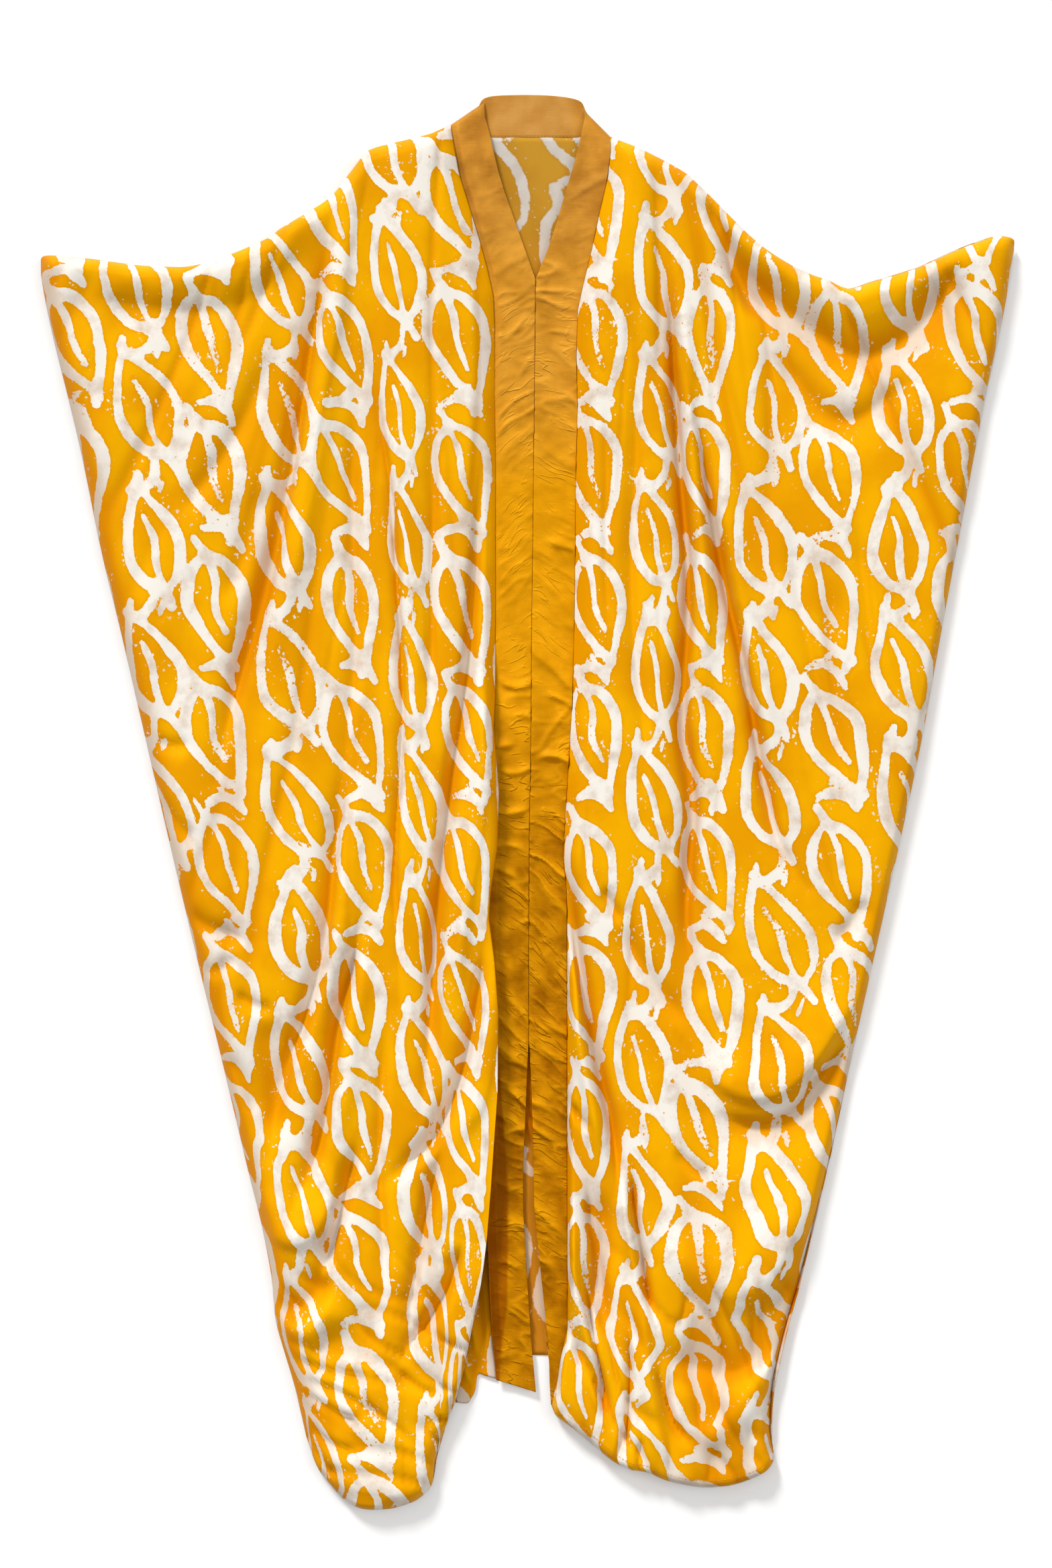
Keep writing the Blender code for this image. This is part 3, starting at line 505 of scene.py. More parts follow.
# the two fronts as they lie, in mm
leftFront = {
    "side": ((-508.2, 566), (-506.8, 543), (-495.6, 487), (-468.3, 375), (-445.2, 263), (-424.9, 179),
        (-399, 67), (-373.1, -45), (-346.5, -157), (-319.2, -269), (-292.6, -381), (-278.6, -437),
        (-267.6, -493), (-265, -521), (-261, -549), (-244.5, -605), (-238, -632), (-231, -662)),
    "top": ((-508.2, 566), (-504, 569.2), (-490, 570), (-457.8, 567.4), (-411.6, 561), (-377, 559),
        (-349, 560), (-310, 571.6), (-270, 589), (-256, 599.6), (-209, 629), (-186, 656), (-171.5, 674.5),
        (-159, 683), (-127, 691), (-103.6, 697), (-79.8, 707.4)),
    "inner": ((-79.8, 707.4), (-79.1, 699.7), (-71.4, 656), (-60.2, 620.5), (-49.7, 586), (-42, 558),
        (-35.7, 530), (-34.3, 499), (-34.3, 431.6), (-32.9, 362), (-32.9, 207), (-33.5, 112), (-35, 77),
        (-29.5, 12), (-31, -46), (-38, -92), (-40, -120), (-34, -165), (-30, -220), (-31, -300), (-38, -400),
        (-42, -450), (-48, -500), (-58, -550), (-68, -600), (-77, -630)),
    "bottom": ((-231, -662), (-219.8, -693.4), (-205.8, -712.3), (-191.8, -727.7), (-177.8, -736.1),
        (-162.4, -738.9), (-141.4, -737.5), (-122.5, -731.9), (-112, -726.3), (-101.5, -715.8), (-98, -705.3),
        (-95.9, -688.5), (-87.5, -658.4), (-77, -630)),
    "innerLift": ((-640, 4.2), (-600, 9), (-560, 17), (-480, 25), (-400, 28), (-250, 27), (-140, 23),
        (-60, 18), (-20, 14), (50, 10), (77, 7.5), (130, 3.5), (170, 0), (800, 0)),
    "rolls": {"side": 34, "wall": 15, "top": 13, "bottom": 19},
    "rimShade": (1.0, 18, 2.6), "hollowShade": 0.6,  # how much painted shade beside the side and in hollows
    "seamRoll": ((-800, 9), (-150, 9), (40, 13), (180, 30), (800, 30)),
    "seamSlump": ((40, 0.5), (180, 1.0)), "hemLift": 3.5,
    "hemCrumples": (4.2, 34, 3.2, -24, 51.0),  # depth, width, stretch, slant in degrees, seed
    "apex": -50,  # x of the point that the folds fan out from
    # soft streaks and long creases: height, width, stretch down the cloth, seed
    "streaks": ((4.4, 62, 7, 3.1), (0.6, 28, 9, 7.7)),
    "creases": ((3.4, 66, 8, 21.3), (1.7, 40, 9, 25.9)),
    # height, width on the left of the line, width on its right, point, line
    "folds": (
        (6, 30, 30, 2, ((-36, 90), (-40, -100), (-38, -250), (-46, -400), (-62, -530))),
        (8, 10, 30, 2, ((-500, 560), (-420, 553), (-350, 551), (-300, 563), (-255, 588), (-200, 628))),
        (-3.6, 34, 50, 1.2, ((-490, 548), (-450, 528), (-400, 514), (-340, 510), (-300, 517), (-262, 545),
            (-232, 585), (-205, 630), (-190, 655))),
        (-11, 9, 17, 1.4, ((-196, 640), (-206, 590), (-215, 530), (-225, 480), (-233, 425), (-242, 370),
            (-252, 315), (-264, 255), (-280, 195), (-298, 135), (-312, 80), (-324, 20))),
        (7, 14, 14, 1.8, ((-180, 640), (-190, 580), (-199, 510), (-208, 450), (-217, 380), (-229, 310),
            (-243, 240), (-258, 180), (-272, 120))),
        (-4, 16, 18, 1.6, ((-265, 470), (-285, 420), (-310, 370), (-338, 330), (-368, 290))),
        (-4, 14, 16, 1.6, ((-270, 340), (-285, 290), (-300, 245), (-318, 200))),
        (-6, 5, 8, 1.3, ((-164, 480), (-158, 430), (-150, 380), (-143, 330), (-138, 270), (-135, 210),
            (-131, 150), (-130, 90), (-133, 30), (-137, -30), (-138, -90), (-134, -150), (-132, -210))),
        (3, 12, 12, 2, ((-147, 430), (-138, 360), (-128, 290), (-121, 210), (-117, 120), (-120, 20),
            (-124, -90))),
        (-4, 9, 12, 1.5, ((-178, 420), (-182, 340), (-180, 260), (-178, 180), (-183, 100), (-190, 40))),
        (-3, 8, 12, 1.5, ((-104, 440), (-100, 340), (-98, 240), (-100, 150), (-104, 70))),
        (-9, 12, 10, 1.6, ((-44, 400), (-49, 330), (-53, 270), (-60, 160), (-69, 95), (-77, 45), (-84, -10),
            (-92, -70), (-97, -130), (-100, -200), (-104, -270), (-112, -330))),
        (9, 12, 11, 2, ((-40, 150), (-42, 90), (-46, 30), (-54, -20), (-62, -80), (-70, -150), (-76, -220))),
        (-9, 9, 16, 1.5, ((-188, 60), (-194, 0), (-201, -50), (-206, -110), (-216, -170), (-232, -225),
            (-250, -275), (-262, -325), (-270, -370))),
        (5, 16, 14, 2, ((-176, 40), (-182, -30), (-188, -90), (-196, -150), (-210, -200))),
        (-10, 9, 15, 1.5, ((-172, -110), (-182, -165), (-196, -225), (-204, -280), (-211, -330), (-226, -385),
            (-247, -432))),
        (5, 13, 12, 2, ((-164, -150), (-180, -230), (-188, -300), (-200, -360))),
        (-10, 9, 14, 1.5, ((-41, -118), (-48, -180), (-57, -235), (-69, -285), (-86, -328), (-108, -362),
            (-150, -398))),
        (8, 12, 9, 2, ((-38, -190), (-42, -250), (-53, -310), (-72, -355))),
        (-7, 8, 12, 1.4, ((-86, -350), (-100, -405), (-111, -455), (-119, -510), (-124, -560))),
        (-8, 8, 13, 1.4, ((-66, -455), (-84, -510), (-108, -547), (-136, -585))),
        (-4, 8, 12, 1.5, ((-144, -210), (-151, -290), (-154, -370), (-150, -450), (-146, -540))),
        (-8, 9, 13, 1.5, ((-176, -350), (-188, -400), (-200, -450), (-218, -500))),
        (10, 26, 11, 2, ((-284, -395), (-270, -440), (-243, -455), (-218, -440), (-204, -400))),
        (-8, 34, 9, 1.6, ((-275, -515), (-245, -530), (-218, -514), (-203, -490))),
        (7, 7, 20, 2, ((-262, -545), (-225, -545), (-198, -516))),
        (-5, 14, 12, 1.6, ((-358, -112), (-330, -132), (-290, -146))),
        (-3, 9, 9, 1.6, ((-345, -172), (-325, -176), (-300, -160))),
        (-3, 9, 9, 1.6, ((-305, -198), (-285, -212), (-262, -216))),
        (-4, 14, 14, 1.6, ((-318, -262), (-295, -290), (-283, -330))),
        (-5, 22, 26, 1.8, ((-262, -215), (-268, -260), (-266, -310), (-262, -360))),
        (-5, 40, 26, 1.6, ((-232, -560), (-190, -560), (-150, -570))),
        (-4, 6, 6, 1.4, ((-246, -576), (-218, -589), (-165, -603))),
        (-4, 6, 6, 1.4, ((-240, -598), (-200, -613), (-160, -635), (-115, -668))),
        (-4, 7, 7, 1.4, ((-234, -640), (-205, -668), (-165, -677))),
        (-3, 5, 6, 1.4, ((-138, -590), (-112, -610), (-88, -616))),
        (-3, 5, 5, 1.4, ((-236, -612), (-205, -632), (-168, -652))),
        (-3, 6, 6, 1.4, ((-228, -662), (-212, -688), (-196, -704))),
        (-3, 10, 10, 1.6, ((-388, 66), (-372, 58), (-350, 60))),
        (-4, 12, 12, 1.6, ((-386, 5), (-366, -20), (-345, -48))),
    ),
}

rightFront = {
    "side": ((508.2, 581), (507.5, 571), (503.3, 543), (492.8, 487), (474.6, 403), (453.6, 291), (432.6, 179),
        (412.3, 67), (388.5, -45), (363.3, -157), (338.1, -269), (312.9, -381), (284.9, -493),
        (272.3, -536.6), (263.2, -571.6), (255.5, -609), (253.4, -654), (256.5, -677)),
    "top": ((508.2, 581), (506.5, 586.5), (500, 589.5), (488.6, 590.5), (471, 585), (443, 574), (408, 558),
        (359, 542.9), (336, 535.9), (313.6, 545), (285.6, 555.5), (250.6, 576.5), (226, 597.5), (194.6, 629),
        (177, 646), (163.1, 658), (138.6, 672), (110.6, 685), (86.8, 694.8)),
    "inner": ((86.8, 694.8), (86.8, 677), (82.6, 647), (74.9, 613.6), (66.5, 573.7), (57.4, 536.6),
        (52.5, 512.8), (51.1, 466.6), (52.3, 408), (50.4, 338.5), (49.4, 207), (46.9, 104.7), (42.7, 35.4),
        (39.9, -11.6), (37.5, -57.8), (41, -92.8), (41.3, -204), (41.3, -312), (41.3, -423), (42, -520),
        (42, -548), (34.5, -581), (31.7, -602), (28, -616), (25.3, -630)),
    "bottom": ((256.5, -677), (257.6, -686), (250.6, -697.6), (234.5, -706.7), (212, -713.7), (187.6, -715.8),
        (169.4, -714), (146, -708.8), (124, -700), (107, -697), (90.3, -689), (70, -673), (47.6, -654),
        (30.8, -641), (25.3, -630)),
    "innerLift": ((-640, 4.6), (-600, 6), (-540, 6.5), (-515, 5.5), (-490, 3), (-465, 0.8), (-445, 0),
        (800, 0)),
    "rolls": {"side": 30, "wall": 11, "top": 14, "bottom": 8},
    "rimShade": (0.25, 15, 2), "hollowShade": 0.85,
    "seamRoll": ((-800, 6), (-350, 8), (-60, 19), (120, 30), (800, 30)),
    "seamSlump": ((-300, 0.6), (-60, 1.0)), "hemLift": 2.2,
    "hemCrumples": (4.6, 30, 3.0, -66, 57.0),
    "apex": 60,
    "streaks": ((5.6, 62, 7, 13.1), (0.8, 28, 9, 17.7)),
    "creases": ((4.4, 66, 8, 31.3), (1.9, 40, 9, 35.9)),
    "folds": (
        (-11, 8, 13, 1.4, ((136, 625), (142, 580), (147, 535), (151, 480), (154, 420), (159, 350), (165, 285),
            (168, 230), (167, 180), (163, 130), (163, 80), (169, 30), (173, -10), (170, -60), (166, -105),
            (169, -150), (182, -195))),
        (7, 12, 10, 1.8, ((160, 560), (164, 480), (170, 400), (178, 310), (184, 230), (184, 150), (182, 80))),
        (-11, 9, 14, 1.4, ((172, 440), (180, 380), (188, 320), (198, 270), (208, 220), (220, 170), (230, 120),
            (240, 60), (251, 0), (264, -45), (290, -90))),
        (5, 12, 10, 2, ((196, 380), (206, 300), (218, 230), (232, 165), (246, 100), (258, 40))),
        (-3.5, 9, 14, 1.5, ((112, 480), (114, 400), (112, 320), (108, 240), (112, 160), (120, 90),
            (122, 20))),
        (-3, 8, 12, 1.5, ((80, 420), (83, 340), (82, 250), (86, 170))),
        (-3, 10, 14, 1.6, ((270, 300), (282, 220), (296, 150), (315, 80), (330, 20))),
        (-3, 9, 14, 1.6, ((340, 300), (352, 220), (360, 150), (372, 90))),
        (-8, 12, 14, 1.5, ((180, 640), (202, 594), (216, 556), (234, 522), (262, 498))),
        (3, 14, 30, 2, ((210, 600), (255, 562), (300, 536), (336, 524), (400, 546), (450, 566), (492, 580))),
        (-9, 38, 32, 1.25, ((196, 612), (232, 548), (264, 515), (300, 487), (345, 463), (386, 477),
            (420, 508), (448, 556), (466, 590))),
        (-5, 22, 26, 1.4, ((254, 485), (284, 436), (312, 403), (342, 398), (374, 420), (410, 448))),
        (-10, 11, 8, 1.4, ((38, -60), (46, -110), (52, -160), (60, -205), (69, -255), (78, -295), (86, -328),
            (92, -365), (95, -410))),
        (8, 9, 10, 2, ((44, -160), (50, -220), (60, -280), (70, -330), (76, -380))),
        (-4, 16, 18, 1.6, ((92, -118), (108, -150), (128, -182), (152, -215), (172, -232))),
        (11, 42, 11, 2, ((176, -262), (205, -292), (232, -303), (262, -299), (287, -279), (308, -252),
            (348, -188))),
        (-7, 10, 34, 1.5, ((190, -322), (230, -336), (262, -333), (284, -318), (305, -292), (342, -240))),
        (11, 46, 26, 2, ((132, -450), (166, -475), (196, -497), (226, -500), (248, -486), (265, -455),
            (302, -398))),
        (-9, 62, 16, 1.4, ((125, -560), (150, -580), (184, -594), (216, -596), (246, -580), (268, -548),
            (300, -470))),
        (8, 12, 22, 2, ((162, -640), (184, -657), (200, -652), (216, -634), (240, -602), (258, -572))),
        (-6, 16, 18, 1.6, ((74, -395), (80, -450), (76, -505), (88, -565))),
        (8, 9, 8, 2, ((45, -420), (48, -485), (57, -535), (69, -572), (79, -604))),
        (-6, 6, 7, 1.4, ((46, -558), (60, -585), (73, -612), (84, -645))),
        (7, 10, 12, 2, ((118, -500), (122, -560), (129, -620), (140, -668), (156, -700))),
        (-9, 5, 9, 1.3, ((108, -380), (112, -420), (120, -470), (127, -515), (136, -545))),
        (6, 9, 6, 1.8, ((98, -390), (103, -440), (112, -490), (120, -530))),
        (-9, 4, 7, 1.3, ((60, -500), (68, -550), (78, -600), (88, -645))),
        (6, 8, 5, 1.8, ((56, -560), (66, -600), (76, -640))),
        (-6, 4, 6, 1.3, ((106, -545), (107, -590), (105, -640), (100, -690))),
        (-5, 5, 8, 1.4, ((132, -585), (143, -620), (157, -652), (176, -672))),
        (-5, 4, 6, 1.3, ((62, -400), (66, -440), (72, -480), (70, -520))),
        (-4, 5, 5, 1.4, ((43, -312), (55, -330), (68, -343))),
        (-3, 8, 8, 1.5, ((150, -362), (170, -380), (192, -396))),
        (-3, 5, 5, 1.4, ((119, -660), (117, -680), (116, -702))),
        (-3, 5, 5, 1.4, ((100, -655), (96, -672), (91, -690))),
        (-4, 9, 9, 1.5, ((78, -88), (88, -108), (98, -126))),
        (-4, 14, 14, 1.6, ((352, -100), (336, -130), (318, -146))),
    ),
}


# what shapes both fronts, in mm over the back where no other unit is given
bothFronts = {
    "columns": 172, "rows": 248,
    "loose": 23, "troughs": 1.95, "lowest": (3.4, 0.25), "highest": (32, 0.25), "lift": 1.0,
    "fanTop": 1300, "fanScale": 1100,  # y of the point that the folds fan out from
    # long creases: how thin, how pointed, how much painted shade darkens them; the same of the hem's crumples
    "creaseLine": (0.085, 1.5, 0.13), "creaseShown": (2.2, 0.35),
    "crumpleLine": (0.11, 1.3, 0.07), "crumpleFrom": -400, "crumpleGrows": 170, "crumpleMean": 0.2,
    "hollowDepth": 15, "seamLift": 1.2, "sideLift": 4.4, "topDrop": 1, "shoulderLift": 13,
    "wallDrop": 1.5, "wallSlump": 0.65, "cornerReach": 45,
    "slide": 0.62,  # the cloth slides together a little in folds, so the print shifts less than they are deep
}


def frontGrid(piece, columns, rows, both=bothFronts):
    plan = fillBetween(smoothLine(piece["top"], columns), smoothLine(piece["bottom"], columns),
                       smoothLine(piece["side"], rows), spreadAlong(piece["inner"], rows), columns, rows)
    y = plan[..., 1]
    neck = tableValue(neckRise, y)
    folds = foldHeight(plan, piece["folds"])
    height = both["loose"] + neck + folds * np.where(folds < 0, both["troughs"], 1)
    fall = np.dstack(((plan[..., 0] - piece["apex"]) * both["fanScale"] / (both["fanTop"] - y), y))
    for tall, size, stretch, seed in piece["streaks"]:
        height = height + tall * softNoise(fall, size, stretch, seed)
    # tone gathers painted shade: in the creases, the hem's crumples, the hollows and along the side rim
    tone = 0
    thin, point, shadeGain = both["creaseLine"]
    gain, share = both["creaseShown"]
    for deep, size, stretch, seed in piece["creases"]:
        # a crease runs where slow noise crosses zero, and comes and goes along its length
        shown = ease(softNoise(fall, 1.7 * size, stretch / 2, seed + 3) * gain + share)
        crease = shown * np.exp(-np.abs(softNoise(fall, size, stretch, seed) / thin) ** point)
        height = height - deep * crease
        tone = tone + shadeGain * deep * crease
    # by the hem the cloth is crushed into short slanting creases
    deep, size, stretch, slant, seed = piece["hemCrumples"]
    thin, point, shadeGain = both["crumpleLine"]
    along = np.array((math.cos(math.radians(slant)), math.sin(math.radians(slant))))
    slanted = np.dstack((plan @ np.array((-along[1], along[0])), plan @ along))
    shown = ease((both["crumpleFrom"] - y) / both["crumpleGrows"])
    crumple = shown * np.exp(-(np.abs(softNoise(slanted, size, stretch, seed)) / thin) ** point)
    height = height - deep * (crumple - both["crumpleMean"] * shown)
    tone = tone + shadeGain * deep * crumple
    tone = tone + piece["hollowShade"] * ease((both["loose"] + neck - height) / both["hollowDepth"])
    least, squeeze = both["lowest"]
    height = np.maximum(height, least + squeeze * height)
    most, squeeze = both["highest"]
    height = np.minimum(height, most + squeeze * (height - most))
    # round the cloth down to the band's seam, the shoulder, the side and the hem
    seam = tableValue(piece["innerLift"], y) + neck + both["seamLift"]
    rolls, sideLift = piece["rolls"], both["sideLift"]
    top, side, bottom = (smoothLine(piece[key], 120) for key in ("top", "side", "bottom"))
    height = roundEdge(height, plan, piece["inner"], seam, tableValue(piece["seamRoll"], y),
                       tableValue(piece["seamSlump"], y))
    height = roundEdge(height, plan, top, sideLift - both["topDrop"], rolls["top"])
    height = roundEdge(height, plan, side, sideLift + both["shoulderLift"], rolls["side"], 1)
    height = roundEdge(height, plan, side, sideLift - both["wallDrop"], rolls["wall"], both["wallSlump"])
    rimShare, rimWidth, rimPoint = piece["rimShade"]
    tone = tone + rimShare * np.exp(-(nearestOnLine(plan, side)[0] / rimWidth) ** rimPoint)
    corner = np.array(piece["inner"][-1])
    near = 1 - ease(np.hypot(plan[..., 0] - corner[0], plan[..., 1] - corner[1]) / both["cornerReach"])
    low = piece["hemLift"] + near * tableValue(piece["innerLift"], corner[1])
    height = roundEdge(height, plan, bottom, low, rolls["bottom"])
    return np.dstack((plan, height + both["lift"])), np.clip(tone, 0, 1)


detail = 1.0
edgeSteps = np.array([0, 0.002, 0.005, 0.01, 0.017, 0.026])
frontColumns = np.concatenate((
    edgeSteps, np.linspace(0.036, 0.975, int(bothFronts["columns"] * detail)), 1 - edgeSteps[3::-1]))
frontRows = np.concatenate((
    [0, 0.0015, 0.004, 0.008], np.linspace(0.013, 0.985, int(bothFronts["rows"] * detail)),
    [0.989, 0.993, 0.997, 1.0]))

fronts = {}
for name, node, settings, outward, seed in (("frontLeft", "front_left", leftFront, -1, 11),
                                            ("frontRight", "front_right", rightFront, 1, 23)):
    grid, tone = frontGrid(settings, frontColumns, frontRows)
    cut = cutCoordinates(grid * np.array((1, 1, bothFronts["slide"])), outward)
    edge, dry = brushField(cut, seed)
    piece = clothMesh(name, grid, cut, fields={"brushEdge": edge, "brushDry": dry, "paintedShade": tone},
                      materials=(printFace, printReverse))
    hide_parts(node)
    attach(piece, "root")
    fronts[name] = (piece, grid)
    print(name, "made,", len(piece.data.polygons), "faces")

# the back lies flat on the floor, its inner side up
backPanel = {
    "columns": 190, "rows": 230,
    "flat": 1.1, "ripple": (0.25, 40, 2, 31.0), "rim": 3.2, "rimWidth": 8, "rimFree": 110, "topInset": 3,
    "narrow": 0.994, "drop": 1.2, "printStart": (31, 44), "printSeed": 37,
    "slitEnd": (3, -305), "slitEndSize": (14, 42), "strokesPushedBack": 60,
    # painted shade on the inner side: deepest at the narrow end of the slit, lighter up by the neck
    "paintedShade": ((-800, 0.62), (-360, 0.62), (-346, 0.97), (-272, 0.97), (-260, 0.5), (500, 0.6), (545, 0.42),
                 (600, 0.18), (690, 0.12)),
    "neck": ((-76, 695.4), (-40, 695.4), (8, 695.4), (56, 695.4), (82, 695.4)),
    "hem": ((-84, -600), (-60, -588), (-30, -582), (2, -578), (24, -578), (25, -600)),
}
backTop = np.vstack((smoothLine(leftFront["top"], 40)[:-1], backPanel["neck"],
                     smoothLine(rightFront["top"], 40)[::-1][1:]))
backTop[:, 1] -= backPanel["drop"]
backBottom = np.vstack((smoothLine(leftFront["bottom"], 30)[:-3], backPanel["hem"],
                        smoothLine(rightFront["bottom"], 30)[::-1][3:]))
backColumns, backRows = (np.linspace(0, 1, int(backPanel[key] * detail)) for key in ("columns", "rows"))
backSides = [smoothLine(piece["side"], backRows) for piece in (leftFront, rightFront)]
backPlan = fillBetween(spreadAlong(backTop, backColumns), spreadAlong(backBottom, backColumns),
                       *backSides, backColumns, backRows)
backPlan[..., 0] *= backPanel["narrow"]
x, y = backPlan[..., 0], backPlan[..., 1]
toSide = np.minimum(*(nearestOnLine(backPlan, line)[0] for line in backSides))
toRim = np.minimum(toSide, nearestOnLine(backPlan, backTop)[0] + backPanel["topInset"])
tall, size, stretch, seed = backPanel["ripple"]
backHeight = backPanel["flat"] + tall * softNoise(backPlan, size, stretch, seed)
backHeight = (backHeight + backPanel["rim"] * np.exp(-(toRim / backPanel["rimWidth"]) ** 2)
              * (1 - np.exp(-(np.abs(x) / backPanel["rimFree"]) ** 4)))
backGrid = np.dstack((backPlan, backHeight))
edge, dry = brushField(backPlan + np.array(backPanel["printStart"]), backPanel["printSeed"])
# the strokes stop short of the slit's narrow end
(endX, endY), (endWidth, endLength) = backPanel["slitEnd"], backPanel["slitEndSize"]
atEnd = np.exp(-((x - endX) / endWidth) ** 4 - ((y - endY) / endLength) ** 4)
edge = edge - backPanel["strokesPushedBack"] * atEnd
back = clothMesh("backPanel", backGrid, backPlan, materials=(printReverse, printFace), fields={
    "brushEdge": edge, "brushDry": dry, "paintedShade": tableValue(backPanel["paintedShade"], y)})
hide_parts("back")
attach(back, "root")
print("back made,", len(back.data.polygons), "faces")

